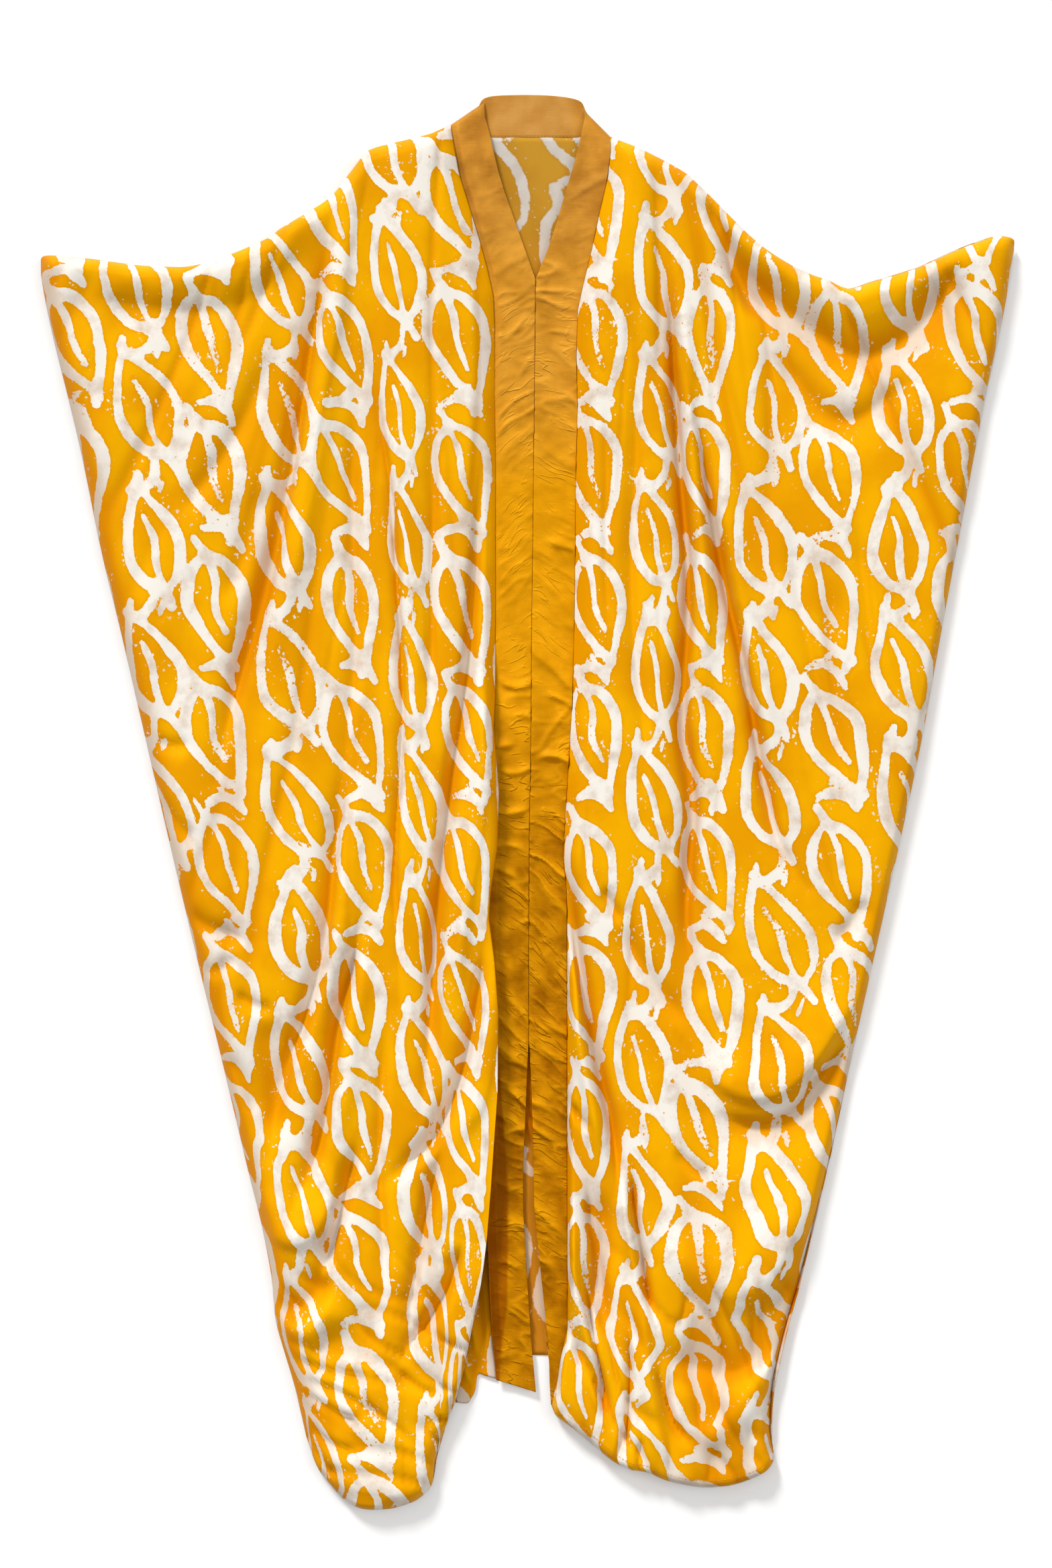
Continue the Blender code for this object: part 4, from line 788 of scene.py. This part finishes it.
# the satin neck band, one piece down each front edge
bands = {
    "leftOpen": ((-44.8, 731), (-44, 715), (-38.5, 695), (-30.8, 660), (-23, 634.6), (-11.2, 602),
        (-1.4, 574), (8.6, 546), (7, 385), (4.9, 207), (4.2, 137), (3.5, 58), (2.1, -35), (1.4, -143),
        (1.4, -249), (0, -279), (-1.4, -317), (-2.4, -341), (-4.2, -373), (-4.2, -423), (-1, -480), (4, -560),
        (9.1, -615.7)),
    "leftSeam": ((-35, 77), (-37, 12), (-38.5, -46), (-40.5, -92), (-40.5, -250), (-42, -341), (-43, -423),
        (-39, -500), (-36, -560), (-32, -603)),
    "rightOpen": ((59.5, 722), (59.5, 713), (55.3, 693), (48.3, 665), (41.3, 641.6), (30.8, 606), (21.7, 578),
        (8.6, 546), (7, 385), (4.9, 207), (4.2, 137), (3.5, 58), (2.1, -35), (1.4, -143), (1.4, -249),
        (2.4, -265), (4.2, -298), (5.6, -341), (7, -423), (10.5, -460), (17, -520), (22.4, -574),
        (23.1, -606), (24.5, -629)),
    "rightSeam": ((41.6, -512), (43.5, -535), (47, -560), (55, -600), (60, -625)),
    "vPoint": 546, "slitTop": -249, "seamGap": 0.3, "turn": 12, "wall": 0.9, "lift": 3.2,
    "ripples": ((0.6, 15, 0.7, 0), (1.2, 36, 1.6, 4)),  # height, width, stretch, seed
    "rise": ((-800, 4), (-300, 4), (-120, 1), (0, 0), (800, 0)),  # over the layers turned in below
    # the bands turn browner towards the neck
    "neckTone": ((-800, 0), (330, 0), (440, 0.4), (560, 0.5), (630, 0.85), (700, 1)),
    # painted shade: darker low down between the fronts and by the neck
    "paintedShade": ((-800, 0.9), (-200, 0.85), (-60, 0.6), (60, 0.3), (110, 0), (520, 0), (580, 0.15),
        (640, 0.45), (735, 0.6)),
    # painted shadow of the lifted front on the left band: x of the shadow's edge, and how deep it is
    "frontShadowEdge": ((-800, -29), (-583, -29), (-525, -21), (-409, -20), (-330, -25), (-252, -31), (-150, -34),
        (-60, -37)),
    "frontShadowDepth": ((-800, 0.5), (-590, 0.75), (-300, 0.8), (-200, 0.5), (-80, 0.2), (-20, 0), (800, 0)),
    # the left band climbs to the lifted front beside it: y, height at the seam, width of the climb
    "climb": ((-800, 4, 8), (-590, 5, 8), (-540, 12, 9), (-400, 20, 10), (-300, 19, 10), (-180, 16, 9),
        (-80, 11, 8), (-10, 7, 7), (40, 3, 6), (80, 0, 6), (800, 0, 6)),
    "rows": (90, 420, 220), "columns": 24,  # over the V, to the slit, below it
    "crumpled": ((-640, 0.5), (-560, 0.9), (-480, 1.2), (-60, 1.3), (10, 1), (90, 0.7), (140, 0.4),
        (330, 0.4), (380, 0.6), (440, 0.9), (540, 0.9), (580, 0.4), (735, 0.2)),
    "creased": ((-800, 0.5), (-560, 0.8), (-300, 1), (0, 1.1), (60, 0.8), (140, 0.5), (330, 0.45),
        (440, 0.55), (510, 0.4), (560, 0.12), (620, 0), (740, 0)),
    # height, width and length of the crumples; how thin and pointed they are, and their mean height
    "crumples": ((3.1, 22, 2.6), (1.6, 11, 3.2)), "crumpleLine": (0.10, 1.2, 0.3),
    "hollowShade": (0.16, 0.22, -0.4, 0.25),  # painted shade in the crumples' hollows: tone on flat cloth, change by mm of height, limits
    "leftSlopes": ((-600, -0.3), (-480, -0.4), (-400, -0.3), (-300, -0.5), (-200, -0.9), (-75, -0.6),
        (0, 0.2), (100, 0), (200, 0.9), (400, 0.8), (560, 0.6), (735, 0.2)),
    "rightSlopes": ((-600, -0.6), (-480, -0.6), (-400, -0.3), (-300, -0.5), (-220, -0.9), (-75, -0.9),
        (0, 0.1), (60, 0.6), (120, -0.5), (250, -0.6), (400, -0.3), (530, 0), (640, 0.3), (735, 0.3)),
    "waveTall": 1.2, "bends": (-0.02, 0.02), "turns": (-0.35, 0.35),  # what chance adds to each crumple
    "talls": (0.3, 0.7, 1.1, 1.8), "shares": (0.45, 1), "widths": (0.7, 1.2),  # and multiplies it by
    # y of a crumple's middle, slope of its line, height, width, share of the band it spans
    "leftWaves": ((560, 0.7, 1.6, 5, 1), (525, 0.5, 1.3, 4, 0.8), (492, 0.8, 1.5, 5, 1),
        (470, 0.6, 1.2, 4, 0.7), (440, 0.8, 1.2, 4, 0.8), (405, 0.9, 1.5, 5, 1), (372, 0.8, 1.2, 5, 0.8),
        (322, 0.9, 1.4, 6, 1), (280, 1.1, 1.2, 6, 0.9), (210, 1.3, 1.3, 7, 1), (160, 0.5, 1, 6, 0.8),
        (120, -0.3, 1.6, 5, 1), (90, 0.1, 1.2, 4, 0.8), (60, 0.3, 1.8, 5, 1), (30, 0.1, 1.4, 5, 0.8),
        (-12, 0.2, 2.2, 6, 1), (-45, 0, 1.5, 5, 0.9), (-75, -0.6, 2.2, 6, 1), (-105, -0.8, 1.8, 5, 0.9),
        (-140, -0.9, 2.4, 7, 1), (-172, -0.9, 1.8, 5, 1), (-205, -0.9, 2.4, 7, 1), (-235, -0.8, 1.8, 5, 1),
        (-262, -0.6, 2, 6, 1), (-300, -0.5, 1.6, 5, 0.9), (-330, -0.4, 2, 6, 1), (-365, -0.3, 1.4, 5, 1),
        (-400, -0.3, 1.7, 6, 1), (-440, -0.2, 1.3, 6, 0.9), (-480, -0.4, 1.6, 8, 1), (-520, -0.6, 1.2, 8, 1),
        (-565, -0.3, 1.2, 9, 1)),
    "rightWaves": ((640, 0.4, 1, 7, 1), (590, -0.2, 1.2, 6, 1), (530, -0.1, 0.8, 6, 0.8),
        (470, -0.5, 1, 5, 0.8), (450, 0, 0.9, 4, 0.9), (420, -0.3, 1.5, 4, 0.9), (405, -0.4, 1, 3.5, 0.7),
        (360, -0.4, 0.9, 6, 0.8), (300, -0.2, 1, 5, 0.9), (270, -0.5, 1.5, 5, 1), (252, -0.6, 1.5, 5, 1),
        (220, -0.8, 1.2, 6, 1), (195, -0.9, 1.5, 6, 1), (165, -1, 1.4, 6, 1), (140, -0.9, 1.6, 6, 1),
        (110, -0.3, 1.2, 5, 0.9), (75, 1.2, 1.6, 5, 0.8), (48, -0.1, 2.6, 4.5, 1), (25, 0.2, 1.2, 6, 0.9),
        (-10, 0.4, 1.4, 7, 1), (-40, 0.1, 1.4, 6, 1), (-68, -1, 2.4, 6, 1), (-98, -1.1, 2, 6, 1),
        (-130, -0.9, 2.5, 7, 1), (-165, -0.8, 2, 6, 1), (-195, -1, 2.4, 6, 1), (-232, -0.9, 2, 6, 1),
        (-262, -0.8, 2, 6, 1), (-294, -0.5, 2.8, 5, 1), (-322, -0.4, 2, 5, 0.9), (-350, -0.3, 2.2, 6, 1),
        (-386, -0.3, 2, 5, 1), (-405, -0.2, 2.8, 5, 1), (-440, -0.8, 1.8, 7, 1), (-490, -0.6, 1.6, 7, 1),
        (-540, -0.5, 1.4, 8, 1)),
}


def atHeights(line, heights):
    pts = np.array(line, float)
    return np.stack((np.interp(-heights, -pts[:, 1], pts[:, 0]), heights), axis=1)


def bandGrid(side, front, seed):
    left = side == "left"
    openEdge, hidden, slopes, waves = (bands[side + part] for part in ("Open", "Seam", "Slopes", "Waves"))
    # the seam follows the front's edge, and then runs on under it
    inner = front[:, -1, :2]
    seamEdge = np.vstack((inner[inner[:, 1] > hidden[0][1] + 2], hidden))
    counts = np.cumsum([0] + [max(8, int(n * detail)) for n in bands["rows"]])
    row = np.arange(counts[-1] + 1)
    openY = np.interp(row, counts, (openEdge[0][1], bands["vPoint"], bands["slitTop"], openEdge[-1][1]))
    seamY = np.interp(row, counts, (seamEdge[0][1], bands["vPoint"] - 4, bands["slitTop"], seamEdge[-1][1]))
    openLine, seamLine = atHeights(openEdge, openY), atHeights(seamEdge, seamY)
    openLine[:, 0] += (-1 if left else 1) * bands["seamGap"] / 2
    edges = np.array([0, 0.01, 0.025])
    across = np.concatenate((edges, np.linspace(0.06, 0.94, bands["columns"]), 1 - edges[::-1]))
    plan = seamLine[:, None] * (1 - across[None, :, None]) + openLine[:, None] * across[None, :, None]
    x, y = plan[..., 0], plan[..., 1]
    fromMiddle = x - x.mean(axis=1, keepdims=True)
    height = tableValue(neckRise, y) + tableValue(bands["rise"], y)
    for tall, size, stretch, shift in bands["ripples"]:
        height = height + tall * softNoise(plan, size, stretch, seed + shift)
    bent = y - tableValue(slopes, y) * fromMiddle + 5 * softNoise(plan, 26, 1, seed + 8)
    crumpled = tableValue(bands["crumpled"], y)
    smooth = height
    thin, point, mean = bands["crumpleLine"]
    for tall, size, stretch in bands["crumples"]:
        ridge = np.abs(softNoise(np.dstack((bent, x)), size, stretch, seed + size))
        patch = ease(0.35 + 1.8 * softNoise(plan, 2.2 * size, 1.5, seed - size))
        height = height + tall * crumpled * patch * (np.exp(-(ridge / thin) ** point) - mean)
    chance = random.Random(int(seed))
    for waveY, slope, tall, width, share in waves:
        bend = chance.uniform(*bands["bends"])
        slope = slope + chance.uniform(*bands["turns"])
        tall, share = tall * chance.choice(bands["talls"]), share * chance.uniform(*bands["shares"])
        width = width * chance.uniform(*bands["widths"])
        away = (y - waveY - slope * fromMiddle - bend * fromMiddle ** 2) / math.hypot(1, slope)
        aside = chance.choice((-1, 1)) * (1 - share) * 22
        fade = np.exp(-((fromMiddle - aside) / (share * 26)) ** 4)
        gentle = np.where(away > 0, 1.25, 0.65)  # creases fall off steeply on the side of the hem
        height = height + bands["waveTall"] * tall * fade * np.exp(-(np.abs(away) / (gentle * width)) ** 1.6)
    base, gain, least, most = bands["hollowShade"]
    tone = tableValue(bands["paintedShade"], y) + crumpled * np.clip(base - gain * (height - smooth), least, most)
    # the folded edges turn down, the left one after it has climbed to the front beside it
    edgeDown = np.minimum(across, 1 - across)[None, :] * 40
    height = height - 0.5 * np.exp(-edgeDown / 1.2)
    fields = {"neckTone": tableValue(bands["neckTone"], y), "paintedShade": np.clip(tone, 0, 1),
              "bentAlong": bent * mm, "creased": tableValue(bands["creased"], y)}
    if left:
        climb = np.array(bands["climb"])
        tall, wide = (np.interp(y, climb[:, 0], climb[:, k]) for k in (1, 2))
        fromSeam = np.abs(x - x[:, :1]) / wide
        height = height * np.clip(fromSeam, 0.3, 1) + tall * np.clip(1 - fromSeam, 0, 1)
        # painted shadow of the lifted front on the band
        shade = ease((tableValue(bands["frontShadowEdge"], y) - x) / 3 + 0.5)
        fields["frontShadow"] = tableValue(bands["frontShadowDepth"], y) * shade
    height = roundEdge(height, plan, (seamLine[0], openLine[0]), 0.0, bands["turn"])
    return np.dstack((plan, height + bands["lift"])), fields


bandPieces = {}
for name, node, side, front, seed in (("bandLeft", "band_left", "left", "frontLeft", 41.0),
                                      ("bandRight", "band_right", "right", "frontRight", 53.0)):
    grid, fields = bandGrid(side, fronts[front][1], seed)
    piece = clothMesh(name, grid, wall=bands["wall"], materials=(sateen,), fields=fields)
    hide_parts(node)
    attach(piece, "root")
    bandPieces[name] = (piece, grid)
print("bands made")

# the part of the left front that turns back to its band
leftTurn = {
    "gap": 0.4, "lift": 3.3, "ripple": 0.9, "waveRange": (-1.2, 3.6), "wavesFrom": -380, "wavesGrow": 80,
    "rows": 260, "columns": 26, "hollowShade": (0.9, 0.22, 0.2, 1), "printStart": (12, 30), "printSeed": 67,
    "hidden": ((-50, 60), (-66, -40), (-76, -150), (-80, -300), (-82, -450), (-80, -560), (-75, -627)),
    "hem": ((-75, -627), (-63, -628), (-58.8, -622.7), (-54.6, -613.6), (-52, -598), (-44, -599.5),
        (-33, -602.5)),
    "folds": (
        (3, 5, 6, 1.6, ((-72, -500), (-60, -540), (-50, -585))),
        (3.5, 5, 5, 1.6, ((-76, -560), (-66, -590), (-56, -612))),
        (-1.5, 4, 4, 1.8, ((-60, -470), (-50, -520), (-44, -575))),
        (2, 4, 5, 1.8, ((-46, -480), (-42, -530), (-40, -590))),
    ),
}
leftBandGrid = bandPieces["bandLeft"][1]
turnRows = np.linspace(0, 1, int(leftTurn["rows"] * detail))
turnColumns = np.linspace(0, 1, leftTurn["columns"])
bandEdge = atHeights(leftBandGrid[:, 0, :2], np.linspace(60, -602.5, 60))
bandEdge[:, 0] -= leftTurn["gap"]
turnTop = smoothLine((leftTurn["hidden"][0], bandEdge[0]), turnColumns)
turnPlan = fillBetween(turnTop, smoothLine(leftTurn["hem"], turnColumns),
                       smoothLine(leftTurn["hidden"], turnRows), spreadAlong(bandEdge, turnRows),
                       turnColumns, turnRows)
waves = foldHeight(turnPlan, leftTurn["folds"]) + leftTurn["ripple"] * softNoise(turnPlan, 16, 2, 61.0)
shown = ease((leftTurn["wavesFrom"] - turnPlan[..., 1]) / leftTurn["wavesGrow"])
turnHeight = leftTurn["lift"] + np.clip(waves, *leftTurn["waveRange"]) * shown
# painted shade: the turned part lies in shade, deeper in its hollows
base, gain, least, most = leftTurn["hollowShade"]
turnShade = np.clip(base - gain * (turnHeight - leftTurn["lift"]), least, most)
turnGrid = np.dstack((turnPlan, turnHeight))
edge, dry = brushField(turnPlan + np.array(leftTurn["printStart"]), leftTurn["printSeed"])
turn = clothMesh("frontLeftTurn", turnGrid, turnPlan, materials=(printFace, printReverse), fields={
    "brushEdge": edge, "brushDry": dry, "paintedShade": turnShade})
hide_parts("front_left_turn")
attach(turn, "root")
print("turned part made")

# the collar strip behind the neck
collarStrip = {
    "top": ((-62, 712), (-52, 725), (-43.4, 736), (-16, 738.9), (27.3, 738), (53.9, 733), (61, 722),
            (68, 711)),
    "bottom": ((-60, 694.6), (-20, 694.3), (20, 694.3), (64, 694.6)),
    "columns": 90, "rows": 22, "wall": 0.9, "lift": 1.6, "ripple": (0.5, 30, 0.7, 71.0),
    "seam": (694.4, 0.5, 1.6),  # y, how deep it pulls in, how wide
    "endShade": (4, 34, 20, 0.45),  # painted shade at the strip's ends: middle, half the bright part, fade, how deep
}
collarColumns = np.linspace(0, 1, collarStrip["columns"])
collarRows = np.concatenate(([0, 0.02, 0.05], np.linspace(0.1, 0.9, collarStrip["rows"]), [0.95, 0.98, 1.0]))
collarRows = collarRows[:, None, None]
collarTop, collarBottom = (smoothLine(collarStrip[key], collarColumns)[None] for key in ("top", "bottom"))
collarPlan = collarTop * (1 - collarRows) + collarBottom * collarRows
tall, size, stretch, seed = collarStrip["ripple"]
seamY, seamDeep, seamWidth = collarStrip["seam"]
middle, bright, fade, deep = collarStrip["endShade"]
collarHeight = (collarStrip["lift"] + tall * softNoise(collarPlan, size, stretch, seed)
                - seamDeep * np.exp(-((collarPlan[..., 1] - seamY) / seamWidth) ** 2))
collarGrid = np.dstack((collarPlan, collarHeight))
# painted shade at both ends of the strip
collarShade = deep * ease((np.abs(collarPlan[..., 0] - middle) - bright) / fade)
collar = clothMesh("collarBack", collarGrid, wall=collarStrip["wall"], materials=(sateen,),
                   fields={"neckTone": np.ones(collarHeight.shape), "paintedShade": collarShade})
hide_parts("collar_back")
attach(collar, "root")
print("collar strip made")

# stitching along the hems and the collar seam, in mm
stitching = {
    "length": 2.6, "gap": 1.2, "radius": 0.28, "sides": 5, "hemDepth": 10, "proud": 0.15, "collarProud": 0.12,
    "marks": ((0, 0.35), (0.25, 1.0), (0.75, 1.0), (1.0, 0.35)),  # share of the length, of the radius
    "bandHem": ((-33, -592), (7, -605.5)), "collarSeam": ((-37, 696.6), (54, 696.6)),
}


def surfaceAt(grid, spots):
    flat = grid.reshape(-1, 3)
    return np.array([flat[np.argmin(np.hypot(flat[:, 0] - x, flat[:, 1] - y)), 2] for x, y in spots])


def stitchLine(name, line, heights):
    # one short thread for each stitch, lying on the cloth along a line
    run = runAlong(line)
    step = stitching["length"] + stitching["gap"]
    shares, swells = zip(*stitching["marks"])
    sides, verts, faces = stitching["sides"], [], []
    for start in np.arange(1.0, run[-1] - step, step):
        marks = start + np.array(shares) * stitching["length"]
        xs, ys, zs = (np.interp(marks, run, values) for values in (line[:, 0], line[:, 1], heights))
        along = np.array((xs[-1] - xs[0], ys[-1] - ys[0]))
        along /= np.linalg.norm(along)
        first = len(verts)
        for x, y, z, swell in zip(xs, ys, zs, swells):
            for corner in range(sides):
                angle = 2 * math.pi * corner / sides
                out = stitching["radius"] * swell * math.cos(angle)
                up = stitching["radius"] * swell * math.sin(angle)
                verts.append(((x - along[1] * out) * mm, (y + along[0] * out) * mm, (z + up) * mm))
        for ring in range(first, first + 3 * sides, sides):
            for corner in range(sides):
                a, b = ring + corner, ring + (corner + 1) % sides
                faces.append((a, a + sides, b + sides, b))
        faces.append(tuple(range(first, first + sides)))
        faces.append(tuple(range(first + 4 * sides - 1, first + 3 * sides - 1, -1)))
    mesh = bpy.data.meshes.new(name)
    mesh.from_pydata(verts, [], faces)
    mesh.shade_smooth()
    mesh.materials.append(thread)
    piece = bpy.data.objects.new(name, mesh)
    scene.collection.objects.link(piece)
    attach(piece, "root")
    return piece


hemLine = spreadAlong(smoothLine(rightFront["bottom"], 120), 160)
along = np.gradient(hemLine, axis=0)
along /= np.linalg.norm(along, axis=1, keepdims=True)
hemLine = (hemLine + stitching["hemDepth"] * np.stack((along[:, 1], -along[:, 0]), axis=1))[10:-6]
rightHem = stitchLine("hemStitchesRight", hemLine,
                      surfaceAt(fronts["frontRight"][1], hemLine) + stitching["proud"])

bandHemLine = spreadAlong(stitching["bandHem"], 60)
bandHem = stitchLine("hemStitchesBandLeft", bandHemLine,
                     surfaceAt(leftBandGrid, bandHemLine) + stitching["proud"])

collarSeamLine = spreadAlong(stitching["collarSeam"], 80)
collarSeam = stitchLine("collarSeamStitches", collarSeamLine,
                        surfaceAt(collarGrid, collarSeamLine) + stitching["collarProud"])
print("stitching made")


def sheetArea(grid):
    # square metres of the sheet with its folds
    a, b, c, d = grid[:-1, :-1], grid[1:, :-1], grid[1:, 1:], grid[:-1, 1:]
    one = np.linalg.norm(np.cross(b - a, c - a), axis=2).sum() / 2
    two = np.linalg.norm(np.cross(c - a, d - a), axis=2).sum() / 2
    return (one + two) * mm * mm


# what each sheet was cut to: width and length in metres, what it lies on, the stitches on it
sheets = (
    (*fronts["frontLeft"], (0.50, 1.48), ["back"], []),
    (*fronts["frontRight"], (0.50, 1.46), ["back"], [rightHem]),
    (back, backGrid, (1.03, 1.46), [], []),
    (turn, turnGrid, (0.06, 0.70), ["back"], []),
    (*bandPieces["bandLeft"], (0.05, 1.38), ["back"], [bandHem]),
    (*bandPieces["bandRight"], (0.05, 1.38), ["back"], []),
    (collar, collarGrid, (0.135, 0.05), [], [collarSeam]),
)
for piece, grid, flat, restsOn, onIt in sheets:
    print(piece.name, "area", round(sheetArea(grid), 4))
